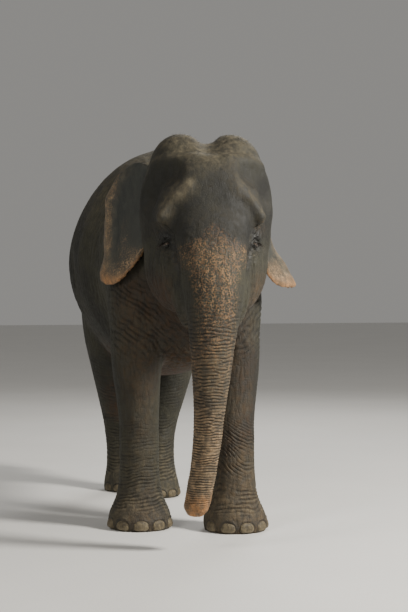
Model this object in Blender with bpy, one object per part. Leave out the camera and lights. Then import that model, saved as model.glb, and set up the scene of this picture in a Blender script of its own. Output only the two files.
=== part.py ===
"""A life-size Asian elephant cow, standing at rest with her trunk hanging.

The body is moulded as one piece from lofted and rounded forms, smoothed, reduced to broad facets and
then parted with thin cuts into head, trunk, legs and so on. Ears, eyes, nails and tail are fitted to it.
Metres, +Z up. She faces -Y, so her left side is +X. The origin is on the floor under her middle.
"""

import math

import bmesh
import bpy
import numpy as np
from mathutils import Matrix, Vector

# ---- driving dimensions ------------------------------------------------------------------------------
GAP = 0.0004                    # clearance between neighbouring pieces
CLAY_CELL = 0.022               # grid on which the body forms are merged
BODY_TRIANGLES = 3150           # facets of the whole body before it is parted

BACK_TOP = 2.38                 # highest point of the arched back
BARREL_HALF_WIDTH = 0.580
HEAD_TURN = math.radians(-7.5)  # the head looks slightly to her right
HEAD_PIVOT = Vector((0.0, -0.80, 1.80))
HEAD_SHIFT = Vector((0.061, 0.0, 0.0))

FOOT_PLACES = {                 # centre of each sole
    "fore_left": (0.268, -0.80),
    "fore_right": (-0.283, -0.60),
    "hind_left": (0.085, 0.64),
    "hind_right": (-0.120, 0.96),
}
SHOULDER = (0.30, -0.62)        # where the leg's axis meets the body: distance from the midline, and Y
HIP = (0.24, 0.86)
SOLE = -0.06                    # the moulded legs run on below the floor, which then cuts them flat

TOE_OUT = 8                     # degrees
NAILS = {                       # headings, distance from the foot's centre to side and ahead, width, height
    "fore": ((-70, -35, 0, 35, 70), 0.182, 0.190, 0.092, 0.066),
    "hind": ((-54, -18, 18, 54), 0.128, 0.164, 0.076, 0.056),
}
NAIL_DEPTH = 0.022
NAIL_LEAN = math.radians(-12)
NAIL_CLEARANCE = 0.004          # the nails stop just above the sole

EYE_RADIUS = 0.021
EYE_CENTRE = Vector((0.247, -1.345, 1.711))
TRUNK_TIP_Z = 0.190
TUFT_TOP = 0.94                 # where the tail's long hair begins

EAR_TOP = Vector((0.290, -0.985, 2.10))     # ends of the ear's root line
EAR_BOTTOM = Vector((0.330, -0.985, 1.66))
EAR_SPREAD = {"left": math.radians(12), "right": math.radians(38)}   # between the ear and the head's side
EAR_FLARE = {"left": 0.42, "right": 0.12}   # how strongly the lobe curls outwards
EAR_REACH = 0.45                # from the root line to the outer edge
EAR_ROOT_THICK = 0.036
EAR_RIM_THICK = 0.016
EAR_ROOT_DEPTH = 0.36           # sets how deep the sheet starts inside the head
EAR_ROWS = 13
# rays from the root line to the edge: share of the line from its top, degrees above the horizontal, length
EAR_TOP_ROWS = [(0.00, 70, 0.090), (0.05, 51, 0.170), (0.14, 34, 0.270), (0.28, 14, 0.385)]
EAR_LOBE_ROWS = {
    "left": [
        (0.44, -4, 0.430), (0.60, -21, 0.455), (0.74, -37, 0.455), (0.88, -55, 0.300), (1.00, -74, 0.095),
    ],
    "right": [
        (0.43, -4, 0.428), (0.56, -22, 0.460), (0.65, -37, 0.490), (0.75, -51, 0.355), (0.86, -57, 0.045),
    ],
}
EAR_COLUMNS = 6

SIDES = {"left": 1.0, "right": -1.0}

SKIN_COLOUR = (0.165, 0.150, 0.130, 1.0)
PALE_SKIN_COLOUR = (0.42, 0.25, 0.16, 1.0)
NAIL_COLOUR = (0.40, 0.33, 0.24, 1.0)
EYE_COLOUR = (0.06, 0.03, 0.015, 1.0)
HAIR_COLOUR = (0.02, 0.018, 0.016, 1.0)
FINISHES = [                    # start of the name, colour, roughness
    ("eye", (EYE_COLOUR, 0.08)),
    ("nail", (NAIL_COLOUR, 0.55)),
    ("tail_tuft", (HAIR_COLOUR, 0.70)),
    ("ear", (PALE_SKIN_COLOUR, 0.80)),
    ("trunk_tip", (PALE_SKIN_COLOUR, 0.80)),
    ("", (SKIN_COLOUR, 0.80)),
]


# ---- making shapes -----------------------------------------------------------------------------------
def spline(rows, count):
    """A Catmull-Rom curve through rows of numbers, read at count even steps of row number."""
    rows = np.array(rows, float)
    padded = np.vstack([2 * rows[0] - rows[1], rows, 2 * rows[-1] - rows[-2]])
    at = np.linspace(0, len(rows) - 1, count)
    first = np.minimum(at.astype(int), len(rows) - 2)
    t = (at - first)[:, None]
    p0, p1, p2, p3 = (padded[first + k] for k in range(4))
    return 0.5 * (2 * p1 + (p2 - p0) * t + (2 * p0 - 5 * p1 + 4 * p2 - p3) * t**2
                  + (3 * p1 - p0 - 3 * p2 + p3) * t**3)


def power(value, exponent):
    return np.sign(value) * np.abs(value) ** exponent


def loft(bm, stations, rings=28, segments=28, side=(1, 0, 0)):
    """A closed tube through stations of (x, y, z, half side, reach up, reach down, squareness).

    Up is square to the side axis and to the route: +Z for a form that lies along Y, and -Y, forwards,
    for one that stands. Squareness 1 is an ellipse, and less is boxier.
    """
    rows = spline(stations, rings)
    centres = rows[:, :3]
    travel = np.gradient(centres, axis=0)
    travel /= np.linalg.norm(travel, axis=1)[:, None]
    across = np.array(side, float) - travel * (travel @ np.array(side, float))[:, None]
    across /= np.linalg.norm(across, axis=1)[:, None]
    up = np.cross(across, travel)
    up *= np.where(up @ (0, -1, 1) < 0, -1, 1)[:, None]
    angle = np.linspace(0, 2 * math.pi, segments, endpoint=False)
    loops = []
    for centre, s, u, row in zip(centres, across, up, rows):
        half, above, below, square = np.maximum(row[3:], 0.004)
        sideways = half * power(np.cos(angle), square)
        reach = np.where(np.sin(angle) > 0, above, below) * power(np.sin(angle), square)
        points = centre + np.outer(sideways, s) + np.outer(reach, u)
        loops.append([bm.verts.new(p) for p in points])
    for a, b in zip(loops, loops[1:]):
        for k in range(segments):
            j = (k + 1) % segments
            bm.faces.new((a[k], a[j], b[j], b[k]))
    bm.faces.new(loops[0])
    bm.faces.new(loops[-1])


def lump(bm, centre, radii, tilt=0.0):
    """An ellipsoid, tilted about the side axis."""
    place = Matrix.Translation(centre) @ Matrix.Rotation(tilt, 4, "X") @ Matrix.Diagonal((*radii, 1.0))
    bmesh.ops.create_uvsphere(bm, u_segments=24, v_segments=14, radius=1.0, matrix=place)


def mirrored(x, y, z):
    return [Vector((side * x, y, z)) for side in SIDES.values()]


def finish_mesh(bm, name):
    bmesh.ops.recalc_face_normals(bm, faces=bm.faces)
    mesh = bpy.data.meshes.new(name)
    bm.to_mesh(mesh)
    bm.free()
    obj = bpy.data.objects.new(name, mesh)
    bpy.context.scene.collection.objects.link(obj)
    return obj


def evaluated(obj, name):
    """A new plain object holding obj's mesh with its modifiers applied; obj is removed."""
    graph = bpy.context.evaluated_depsgraph_get()
    mesh = bpy.data.meshes.new_from_object(obj.evaluated_get(graph), depsgraph=graph)
    bpy.data.objects.remove(obj)
    mesh.name = name
    fresh = bpy.data.objects.new(name, mesh)
    bpy.context.scene.collection.objects.link(fresh)
    return fresh


# ---- forms of the body -------------------------------------------------------------------------------
def torso_forms(bm):
    # y, top, bottom, half width, height of the widest point
    sections = [
        (-0.98, 1.66, 1.34, 0.05, 1.50),
        (-0.94, 1.88, 1.16, 0.22, 1.52),
        (-0.80, 2.06, 1.02, 0.36, 1.55),
        (-0.50, 2.20, 0.93, 0.47, 1.58),
        (-0.15, 2.31, 0.89, 0.55, 1.61),
        (0.20, BACK_TOP, 0.87, BARREL_HALF_WIDTH, 1.63),
        (0.52, 2.33, 0.89, 0.572, 1.62),
        (0.82, 2.21, 0.98, 0.522, 1.60),
        (1.06, 2.06, 1.10, 0.455, 1.58),
        (1.22, 1.88, 1.24, 0.350, 1.56),
        (1.31, 1.70, 1.38, 0.190, 1.54),
        (1.34, 1.58, 1.48, 0.050, 1.53),
    ]
    loft(bm, [(0, y, middle, half, top - middle, middle - bottom, 1.08)
              for y, top, bottom, half, middle in sections], rings=48, segments=36)


def neck_forms(bm):
    loft(bm, [
        (0.000, -0.40, 1.66, 0.34, 0.44, 0.60, 0.98),
        (0.020, -0.68, 1.70, 0.345, 0.40, 0.56, 0.98),
        (0.040, -0.92, 1.76, 0.33, 0.37, 0.48, 0.98),
        (0.050, -1.10, 1.80, 0.30, 0.36, 0.44, 0.98),
    ])


def head_forms(bm):
    # cranium, from nape to face
    loft(bm, [
        (0, -0.80, 1.84, 0.22, 0.24, 0.26, 0.95),
        (0, -0.90, 1.86, 0.340, 0.36, 0.38, 0.86),
        (0, -1.02, 1.88, 0.388, 0.43, 0.40, 0.78),
        (0, -1.14, 1.88, 0.388, 0.43, 0.40, 0.78),
        (0, -1.24, 1.87, 0.350, 0.35, 0.36, 0.86),
        (0, -1.32, 1.83, 0.280, 0.24, 0.29, 0.94),
        (0, -1.38, 1.78, 0.190, 0.14, 0.19, 1.00),
        (0, -1.42, 1.74, 0.080, 0.05, 0.08, 1.00),
    ], rings=40)
    # face, from the mouth up to the forehead
    loft(bm, [
        (0, -1.32, 1.28, 0.09, 0.08, 0.10, 1.00),
        (0, -1.33, 1.36, 0.15, 0.14, 0.16, 0.98),
        (0, -1.33, 1.48, 0.190, 0.17, 0.20, 0.96),
        (0, -1.32, 1.62, 0.228, 0.185, 0.22, 0.95),
        (0, -1.31, 1.76, 0.258, 0.185, 0.22, 0.95),
        (0, -1.28, 1.90, 0.268, 0.150, 0.22, 1.00),
        (0, -1.24, 2.04, 0.230, 0.115, 0.20, 1.00),
        (0, -1.18, 2.17, 0.150, 0.085, 0.12, 1.00),
    ], rings=36)
    for centre in mirrored(0.146, -1.04, 2.145):     # twin domes
        lump(bm, centre, (0.192, 0.22, 0.225))
    for centre in mirrored(0.242, -1.325, 1.87):     # brow knobs
        lump(bm, centre, (0.066, 0.090, 0.075))
    for centre in mirrored(0.195, -1.315, 1.95):     # orbital ridges
        lump(bm, centre, (0.090, 0.075, 0.130))
    for centre in mirrored(0.245, -1.295, 1.79):     # upper lid, between brow and eye
        lump(bm, centre, (0.070, 0.085, 0.075))
    # cheek, from under the eye back to the angle of the jaw
    for side in SIDES.values():
        loft(bm, [
            (side * 0.10, -1.44, 1.60, 0.10, 0.14, 0.14, 0.95),
            (side * 0.14, -1.35, 1.60, 0.125, 0.20, 0.24, 0.94),
            (side * 0.17, -1.20, 1.60, 0.160, 0.24, 0.28, 0.92),
            (side * 0.18, -1.06, 1.62, 0.185, 0.26, 0.25, 0.94),
            (side * 0.16, -0.93, 1.66, 0.15, 0.20, 0.19, 0.96),
        ])
        # sheath of the tush, running down beside the trunk
        loft(bm, [
            (side * 0.13, -1.34, 1.24, 0.035, 0.04, 0.04, 1.0),
            (side * 0.135, -1.38, 1.34, 0.070, 0.08, 0.09, 1.0),
            (side * 0.135, -1.41, 1.48, 0.085, 0.10, 0.12, 1.0),
            (side * 0.13, -1.40, 1.64, 0.090, 0.10, 0.12, 1.0),
        ])
    # lower jaw, forwards and down to the pointed lip
    loft(bm, [
        (0, -0.96, 1.44, 0.20, 0.16, 0.15, 0.94),
        (0, -1.08, 1.38, 0.17, 0.16, 0.13, 0.94),
        (0, -1.19, 1.31, 0.125, 0.12, 0.10, 0.96),
        (0, -1.28, 1.23, 0.080, 0.07, 0.065, 1.00),
        (0, -1.335, 1.15, 0.036, 0.03, 0.03, 1.00),
    ])


def trunk_forms(bm):
    # from the tip up to the forehead, so that reach up is towards the front
    loft(bm, [
        (-0.106, -1.462, TRUNK_TIP_Z, 0.050, 0.030, 0.035, 1.00),
        (-0.098, -1.475, 0.235, 0.076, 0.066, 0.060, 0.95),
        (-0.084, -1.495, 0.310, 0.080, 0.076, 0.070, 0.95),
        (-0.062, -1.520, 0.440, 0.080, 0.080, 0.078, 0.95),
        (-0.042, -1.545, 0.600, 0.083, 0.086, 0.084, 0.95),
        (-0.028, -1.560, 0.800, 0.092, 0.100, 0.095, 0.95),
        (-0.018, -1.562, 1.000, 0.113, 0.118, 0.110, 0.95),
        (-0.012, -1.555, 1.180, 0.132, 0.135, 0.120, 0.95),
        (0.000, -1.530, 1.360, 0.158, 0.148, 0.140, 0.95),
        (0.000, -1.490, 1.540, 0.185, 0.150, 0.160, 0.92),
        (0.000, -1.430, 1.720, 0.210, 0.140, 0.180, 0.94),
        (0.000, -1.350, 1.900, 0.220, 0.120, 0.160, 1.00),
        (0.000, -1.255, 2.060, 0.210, 0.100, 0.140, 1.00),
        (0.000, -1.150, 2.200, 0.130, 0.070, 0.100, 1.00),
    ], rings=60)
    lump(bm, (-0.116, -1.492, 0.236), (0.045, 0.040, 0.045))   # finger of the tip
    lump(bm, (-0.046, -1.478, 0.330), (0.050, 0.058, 0.040))   # lip across from it


def leg_forms(bm, sections, side, foot, top):
    """A leg from sole to body. Sections give height, share of the way from foot to top, lean outwards,
    bend backwards, half side, reach ahead and reach behind."""
    foot_x, foot_y = foot
    top_x, top_y = side * top[0], top[1]
    loft(bm, [(foot_x + (top_x - foot_x) * share + side * lean, foot_y + (top_y - foot_y) * share + bend, z,
               half, ahead, behind, 0.95)
              for z, share, lean, bend, half, ahead, behind in sections], rings=56)


FORE_SECTIONS = [
    (SOLE, 0.00, 0.000, 0.000, 0.176, 0.188, 0.178),
    (0.000, 0.00, 0.000, 0.000, 0.186, 0.198, 0.186),
    (0.035, 0.00, 0.000, 0.000, 0.198, 0.207, 0.192),
    (0.100, 0.00, 0.000, 0.000, 0.190, 0.198, 0.182),
    (0.170, 0.02, 0.000, 0.000, 0.154, 0.164, 0.160),
    (0.250, 0.05, 0.000, 0.000, 0.134, 0.140, 0.140),
    (0.380, 0.10, 0.000, 0.000, 0.124, 0.134, 0.136),
    (0.520, 0.20, 0.000, 0.000, 0.124, 0.142, 0.142),
    (0.660, 0.32, 0.000, 0.000, 0.124, 0.146, 0.150),
    (0.820, 0.50, 0.004, 0.000, 0.136, 0.165, 0.185),
    (1.000, 0.70, 0.008, 0.005, 0.152, 0.200, 0.230),
    (1.200, 0.88, 0.000, 0.010, 0.165, 0.235, 0.270),
    (1.430, 1.00, 0.005, 0.020, 0.172, 0.255, 0.290),
    (1.700, 1.00, -0.030, 0.030, 0.155, 0.225, 0.260),
    (1.930, 1.00, -0.100, 0.050, 0.085, 0.150, 0.170),
]
HIND_SECTIONS = [
    (SOLE, 0.00, 0.000, 0.000, 0.132, 0.165, 0.140),
    (0.000, 0.00, 0.000, 0.000, 0.139, 0.174, 0.147),
    (0.035, 0.00, 0.000, 0.000, 0.142, 0.180, 0.150),
    (0.090, 0.00, 0.000, 0.000, 0.138, 0.172, 0.148),
    (0.150, 0.02, 0.000, 0.010, 0.122, 0.142, 0.134),
    (0.250, 0.06, 0.000, 0.035, 0.108, 0.118, 0.122),
    (0.400, 0.14, 0.000, 0.055, 0.107, 0.118, 0.130),
    (0.540, 0.26, 0.000, 0.050, 0.116, 0.136, 0.146),
    (0.720, 0.45, 0.005, 0.010, 0.135, 0.185, 0.190),
    (0.920, 0.65, 0.010, -0.020, 0.158, 0.245, 0.260),
    (1.150, 0.85, 0.010, -0.010, 0.182, 0.310, 0.340),
    (1.400, 1.00, 0.000, 0.000, 0.190, 0.340, 0.370),
    (1.680, 1.00, -0.020, 0.000, 0.165, 0.290, 0.290),
    (1.900, 1.00, -0.080, 0.000, 0.090, 0.180, 0.170),
]


def head_place():
    """Where the head's own symmetric frame lies in the body's frame."""
    turn = Matrix.Rotation(HEAD_TURN, 4, "Z")
    return Matrix.Translation(HEAD_PIVOT + HEAD_SHIFT) @ turn @ Matrix.Translation(-HEAD_PIVOT)


def make_body():
    bm = bmesh.new()
    torso_forms(bm)
    neck_forms(bm)
    for name, side in SIDES.items():
        leg_forms(bm, FORE_SECTIONS, side, FOOT_PLACES["fore_" + name], SHOULDER)
        leg_forms(bm, HIND_SECTIONS, side, FOOT_PLACES["hind_" + name], HIP)
    head_starts = len(bm.verts)
    head_forms(bm)
    trunk_forms(bm)
    bmesh.ops.transform(bm, matrix=head_place(), verts=list(bm.verts)[head_starts:])
    body = finish_mesh(bm, "body")
    merge = body.modifiers.new("merge", "REMESH")
    merge.mode = "VOXEL"
    merge.voxel_size = CLAY_CELL
    soften = body.modifiers.new("soften", "SMOOTH")
    soften.factor = 0.5
    soften.iterations = 12
    return evaluated(body, "body")


# ---- sculpting ---------------------------------------------------------------------------------------
# route of the stroke, its radius, and how far it raises the surface, or presses it where negative
HEAD_STROKES = [
    ([(0.22, -1.26, 2.07), (0.29, -1.20, 2.00)], 0.150, -0.034),          # temple hollow
    ([(0.14, -1.31, 2.05), (0.20, -1.34, 1.96), (0.255, -1.36, 1.88)], 0.080, 0.014),   # brow ridge
    ([(0.262, -1.35, 1.850)], 0.060, 0.014),                              # brow knob
    ([(0.265, -1.37, 1.715)], 0.060, -0.016),                             # eye socket
    ([(0.215, -1.45, 1.66), (0.205, -1.46, 1.52)], 0.070, -0.018),        # hollow between cheek and trunk
    ([(0.33, -1.20, 1.86), (0.35, -1.10, 1.80)], 0.090, -0.014),          # hollow behind the brow
    ([(0.37, -0.95, 2.12), (0.385, -0.96, 1.70)], 0.080, -0.020),         # in front of the ear
]
HEAD_MIDLINE_STROKES = [
    ([(0, -0.86, 2.30), (0, -1.10, 2.36), (0, -1.25, 2.26)], 0.085, -0.026),   # cleft between the domes
    ([(0, -1.36, 2.08), (0, -1.42, 1.96)], 0.110, -0.010),                # hollow of the forehead
]
BODY_STROKES = [
    ([(0.36, -0.84, 2.00), (0.43, -0.88, 1.60), (0.38, -0.92, 1.25)], 0.160, -0.026),   # front of shoulder
    ([(0.44, -0.20, 2.05), (0.53, -0.22, 1.60), (0.46, -0.28, 1.15)], 0.240, -0.030),   # back of shoulder
    ([(0.36, -0.48, 2.06), (0.46, -0.60, 1.60)], 0.180, 0.020),           # ridge of the shoulder blade
    ([(0.53, 0.42, 1.55), (0.48, 0.46, 1.18)], 0.260, -0.036),            # flank hollow
    ([(0.36, 0.76, 2.08)], 0.200, 0.026),                                 # point of the hip
    ([(0.34, 1.04, 1.88), (0.38, 1.08, 1.60)], 0.180, -0.014),            # behind the hip
]
BODY_MIDLINE_STROKES = [
    ([(0, -0.45, 2.22), (0, 0.20, 2.38), (0, 0.80, 2.22), (0, 1.10, 2.04)], 0.090, 0.014),   # spine
]


def distance_to_route(points, route):
    """Distance from each point to the polyline."""
    route = np.array(route, float)
    if len(route) == 1:
        return np.linalg.norm(points - route[0], axis=1)
    best = np.full(len(points), np.inf)
    for a, b in zip(route, route[1:]):
        run = b - a
        share = np.clip((points - a) @ run / (run @ run), 0, 1)
        best = np.minimum(best, np.linalg.norm(points - a - share[:, None] * run, axis=1))
    return best


def placed(route, place, side=1.0):
    return [tuple(place @ Vector((x * side, y, z))) for x, y, z in route]


def all_strokes():
    here = Matrix.Identity(4)
    for strokes, midline, place in ((HEAD_STROKES, HEAD_MIDLINE_STROKES, head_place()),
                                    (BODY_STROKES, BODY_MIDLINE_STROKES, here)):
        for route, radius, height in strokes:
            for side in SIDES.values():
                yield placed(route, place, side), radius, height
        for route, radius, height in midline:
            yield placed(route, place), radius, height


def sculpt(mesh):
    count = len(mesh.vertices)
    points = np.empty(count * 3)
    mesh.vertices.foreach_get("co", points)
    points = points.reshape(-1, 3)
    normals = np.empty(count * 3)
    mesh.vertices.foreach_get("normal", normals)
    normals = normals.reshape(-1, 3)
    lift = np.zeros(count)
    for route, radius, height in all_strokes():
        near = np.clip(distance_to_route(points, route) / radius, 0, 1)
        lift += height * (1 - near**2) ** 2
    points += normals * lift[:, None]
    mesh.vertices.foreach_set("co", points.ravel())
    mesh.update()


# ---- ears, eyes, nails and tail ----------------------------------------------------------------------
def make_ear(name, side):
    """A sheet fanned out behind its root line, with a rolled upper rim and a lobe that curls outwards."""
    spread = EAR_SPREAD[name]
    flare = EAR_FLARE[name]
    fan = spline(EAR_TOP_ROWS + EAR_LOBE_ROWS[name], EAR_ROWS)
    out = Vector((math.sin(spread), math.cos(spread), 0))
    away = Vector((math.cos(spread), -math.sin(spread), 0))
    sheet = []
    for share, degrees, reach in fan:
        root = EAR_TOP.lerp(EAR_BOTTOM, share)
        angle = math.radians(degrees)
        ray = out * math.cos(angle) + Vector((0, 0, math.sin(angle)))
        row = []
        droop = max(0.0, -math.sin(angle)) ** 1.6
        roll = max(0.0, math.sin(angle))
        for column in range(-2, EAR_COLUMNS + 1):
            u = column / EAR_COLUMNS
            spread_out = (reach * max(u, 0) / EAR_REACH) ** 2
            lift = 0.035 * math.sin(math.pi * min(max(u, 0), 1))
            lift += (flare * droop + 0.05 * roll) * spread_out
            thick = EAR_ROOT_THICK + (EAR_RIM_THICK - EAR_ROOT_THICK) * min(1.0, max(0.0, u) * 1.5)
            thick *= math.sqrt(max(0.08, 1 - max(0.0, u) ** 8))
            outwards = ray * (reach * u) if u > 0 else away * (EAR_ROOT_DEPTH * u)
            row.append((root + outwards + away * lift, thick))
        sheet.append(row)
    place = head_place()
    bm = bmesh.new()
    skins = []
    for face in (0.5, -0.5):
        skins.append([[bm.verts.new(place @ Vector((side * (p + away * thick * face).x,
                                                    (p + away * thick * face).y,
                                                    (p + away * thick * face).z)))
                       for p, thick in row] for row in sheet])
    rows, columns = len(sheet), len(sheet[0])
    for skin in skins:
        for i in range(rows - 1):
            for j in range(columns - 1):
                bm.faces.new((skin[i][j], skin[i][j + 1], skin[i + 1][j + 1], skin[i + 1][j]))
    front, back = skins
    border = ([(0, j) for j in range(columns)] + [(i, columns - 1) for i in range(1, rows)]
              + [(rows - 1, j) for j in range(columns - 2, -1, -1)]
              + [(i, 0) for i in range(rows - 2, 0, -1)])
    for (a, b), (c, d) in zip(border, border[1:] + border[:1]):
        bm.faces.new((front[a][b], front[c][d], back[c][d], back[a][b]))
    return finish_mesh(bm, "ear_" + name)


def make_eye(name, side):
    bm = bmesh.new()
    centre = head_place() @ Vector((side * EYE_CENTRE.x, EYE_CENTRE.y, EYE_CENTRE.z))
    bmesh.ops.create_uvsphere(bm, u_segments=10, v_segments=6, radius=EYE_RADIUS,
                              matrix=Matrix.Translation(centre))
    return finish_mesh(bm, name)


def make_nail(name, foot, heading, half, ahead, width, height):
    """A blunt oval shield on the front of a foot; heading turns from straight ahead towards +X."""
    x = foot[0] + half * math.sin(heading)
    y = foot[1] - ahead * math.cos(heading)
    facing = math.atan2(math.sin(heading) / half, math.cos(heading) / ahead)
    bm = bmesh.new()
    shape = Matrix.Diagonal((width / 2, NAIL_DEPTH, height / 2, 1.0))
    lean = Matrix.Rotation(NAIL_LEAN, 4, "X")
    place = Matrix.Translation((x, y, height / 2 + NAIL_CLEARANCE)) @ Matrix.Rotation(facing, 4, "Z") @ lean
    bmesh.ops.create_uvsphere(bm, u_segments=6, v_segments=4, radius=1.0, matrix=place @ shape)
    return finish_mesh(bm, name)


def make_nails(kind, name, side):
    """The nails of one foot, numbered from the inner side; the foot toes out a little."""
    headings, half, ahead, width, height = NAILS[kind]
    for number, degrees in enumerate(headings, start=1):
        heading = side * math.radians(degrees + TOE_OUT)
        yield make_nail(f"nail_{kind}_{name}_{number}", FOOT_PLACES[f"{kind}_{name}"], heading, half, ahead,
                        width, height)


def make_tail():
    """The tail with its tuft, hanging clear of the legs."""
    bm = bmesh.new()
    # x, y, z, half side, half depth
    loft(bm, [(x, y, z, half, deep, deep, 1.0) for x, y, z, half, deep in (
        (0.000, 1.14, 1.82, 0.060, 0.060), (0.000, 1.27, 1.76, 0.056, 0.056),
        (0.000, 1.350, 1.61, 0.044, 0.044), (0.004, 1.390, 1.40, 0.034, 0.034),
        (0.012, 1.390, 1.16, 0.026, 0.026), (0.020, 1.375, TUFT_TOP, 0.019, 0.022),
        (0.023, 1.366, 0.80, 0.022, 0.048), (0.026, 1.356, 0.68, 0.020, 0.050),
        (0.028, 1.348, 0.58, 0.012, 0.030), (0.029, 1.345, 0.53, 0.004, 0.008))],
         rings=25, segments=8)
    return finish_mesh(bm, "tail")


# ---- parting -----------------------------------------------------------------------------------------
def prism(profile, axis, reach, place, grow):
    """A closed prism: the profile lies in the plane across the axis, each face moved out by grow."""
    bm = bmesh.new()
    ends = []
    for along in reach:
        ring = [(along, a, b) if axis == "X" else (a, along, b) for a, b in profile]
        ends.append([bm.verts.new(point) for point in ring])
    near, far = ends
    bm.faces.new(near)
    bm.faces.new(far)
    for k in range(len(profile)):
        j = (k + 1) % len(profile)
        bm.faces.new((near[k], near[j], far[j], far[k]))
    bmesh.ops.recalc_face_normals(bm, faces=bm.faces)
    moved = {}
    for vert in bm.verts:
        normals = [face.normal for face in vert.link_faces]
        moved[vert] = np.linalg.solve(np.array(normals), [n.dot(vert.co) + grow for n in normals])
    for vert, point in moved.items():
        vert.co = point
    bmesh.ops.transform(bm, matrix=place, verts=bm.verts)
    cutter = finish_mesh(bm, "cutter")
    cutter.hide_render = True
    cutter.display_type = "WIRE"
    return cutter


def copied(obj, name):
    twin = bpy.data.objects.new(name, obj.data.copy())
    bpy.context.scene.collection.objects.link(twin)
    return twin


def combine(obj, cutter, operation):
    """obj with the cutter's shape taken away, or kept only inside it; both are used up."""
    name = obj.name
    cut = obj.modifiers.new("cut", "BOOLEAN")
    cut.operation = operation
    cut.object = cutter
    result = evaluated(obj, name)
    bpy.data.objects.remove(cutter)
    result.name = name
    return result


def part_off(body, name, block):
    """The piece of the body inside the block, and the body without it, with a thin gap between them."""
    piece = combine(copied(body, name), prism(*block, 0.0), "INTERSECT")
    return piece, combine(body, prism(*block, GAP), "DIFFERENCE")


def loose_parts(obj):
    """The separate closed bodies in a mesh, as new objects; obj is removed."""
    bm = bmesh.new()
    bm.from_mesh(obj.data)
    unseen = set(bm.verts)
    groups = []
    while unseen:
        group, edge = set(), [next(v for v in bm.verts if v in unseen)]
        while edge:
            vert = edge.pop()
            if vert in unseen:
                unseen.discard(vert)
                group.add(vert)
                edge.extend(link.other_vert(vert) for link in vert.link_edges)
        groups.append({v.index for v in group})
    bm.free()
    parts = []
    for group in groups:
        bm = bmesh.new()
        bm.from_mesh(obj.data)
        bm.verts.ensure_lookup_table()
        bmesh.ops.delete(bm, geom=[v for v in bm.verts if v.index not in group], context="VERTS")
        parts.append(finish_mesh(bm, obj.name))
    bpy.data.objects.remove(obj)
    return parts


def middle(obj):
    return sum((v.co for v in obj.data.vertices), Vector()) / len(obj.data.vertices)


def swollen(obj):
    """A copy of obj that is one gap bigger all round, for fitting a neighbour to it."""
    twin = copied(obj, "cutter")
    places = [v.co + v.normal * GAP for v in twin.data.vertices]
    for vert, place in zip(twin.data.vertices, places):
        vert.co = place
    twin.data.update()
    return twin


def largest_after(obj, neighbours):
    """obj with its neighbours' room taken away, keeping only its main body."""
    name = obj.name
    for other in neighbours:
        obj = combine(obj, swollen(other), "DIFFERENCE")
    parts = sorted(loose_parts(obj), key=lambda part: -len(part.data.vertices))
    for scrap in parts[1:]:
        bpy.data.objects.remove(scrap)
    parts[0].name = name
    return parts[0]


# Profiles are in (Y, Z) for a block that runs along X, and in (X, Z) for one along Y.
WIDE = (-1.0, 1.0)
HEAD_BLOCKS = [
    ("trunk_tip", [(-1.9, -0.2), (-1.2, -0.2), (-1.2, 0.38), (-1.9, 0.38)]),
    ("trunk_lower", [(-1.9, 0.1), (-1.2, 0.1), (-1.2, 0.66), (-1.9, 0.66)]),
    ("trunk_middle", [(-1.9, 0.4), (-1.2, 0.4), (-1.2, 0.96), (-1.9, 0.96)]),
    ("trunk_upper", [(-1.9, 0.7), (-1.395, 0.7), (-1.395, 1.24), (-1.9, 1.24)]),
    ("trunk_root", [(-1.9, 1.1), (-1.395, 1.1), (-1.395, 1.24), (-1.70, 1.60), (-1.9, 1.84)]),
    ("lower_jaw", [(-1.55, 0.9), (-0.98, 0.9), (-0.98, 1.36), (-1.38, 1.175), (-1.55, 1.10)]),
    ("head", [(-1.9, 1.0), (-0.93, 1.0), (-0.93, 2.6), (-1.9, 2.6)]),
]
NECK_BLOCK = [(-1.4, 1.18), (-0.88, 1.18), (-0.44, 2.50), (-1.4, 2.50)]
FORE_LEG_BLOCK = [(-0.9, -0.1), (0.9, -0.1), (0.9, 1.72), (0.0, 0.775), (-0.9, 1.72)]
HIND_LEG_BLOCK = [(-0.9, -0.1), (0.9, -0.1), (0.9, 1.80), (0.0, 0.800), (-0.9, 1.80)]
FORE_LEG_REACH = (-1.3, -0.34)
HIND_LEG_REACH = (0.46, 1.5)
FORE_FOOT_TOP = 0.185
HIND_FOOT_TOP = 0.165


def part_legs(body, kind, block, reach, foot_top):
    """Both legs of a pair and their feet, cut from the body."""
    here = Matrix.Identity(4)
    pair, body = part_off(body, "legs", (block, "Y", reach, here))
    pieces = {}
    for leg in loose_parts(pair):
        side = "left" if middle(leg).x > 0 else "right"
        leg.name = f"{kind}_leg_{side}"
        slab = [(-0.9, -0.1), (0.9, -0.1), (0.9, foot_top), (-0.9, foot_top)]
        foot, leg = part_off(leg, f"{kind}_foot_{side}", (slab, "Y", (-1.6, 1.6), here))
        pieces[leg.name] = leg
        pieces[foot.name] = foot
    return pieces, body


def part_body(body):
    pieces = {}
    here = Matrix.Identity(4)
    floor = [(-1.2, -0.5), (1.2, -0.5), (1.2, 0.0), (-1.2, 0.0)]
    body = combine(body, prism(floor, "Y", (-2.0, 2.0), here, 0.0), "DIFFERENCE")
    for name, profile in HEAD_BLOCKS:
        pieces[name], body = part_off(body, name, (profile, "X", WIDE, head_place()))
    pieces["neck"], body = part_off(body, "neck", (NECK_BLOCK, "X", WIDE, here))
    legs, body = part_legs(body, "fore", FORE_LEG_BLOCK, FORE_LEG_REACH, FORE_FOOT_TOP)
    pieces.update(legs)
    legs, body = part_legs(body, "hind", HIND_LEG_BLOCK, HIND_LEG_REACH, HIND_FOOT_TOP)
    pieces.update(legs)
    body.name = "torso"
    pieces["torso"] = body
    return pieces


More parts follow.
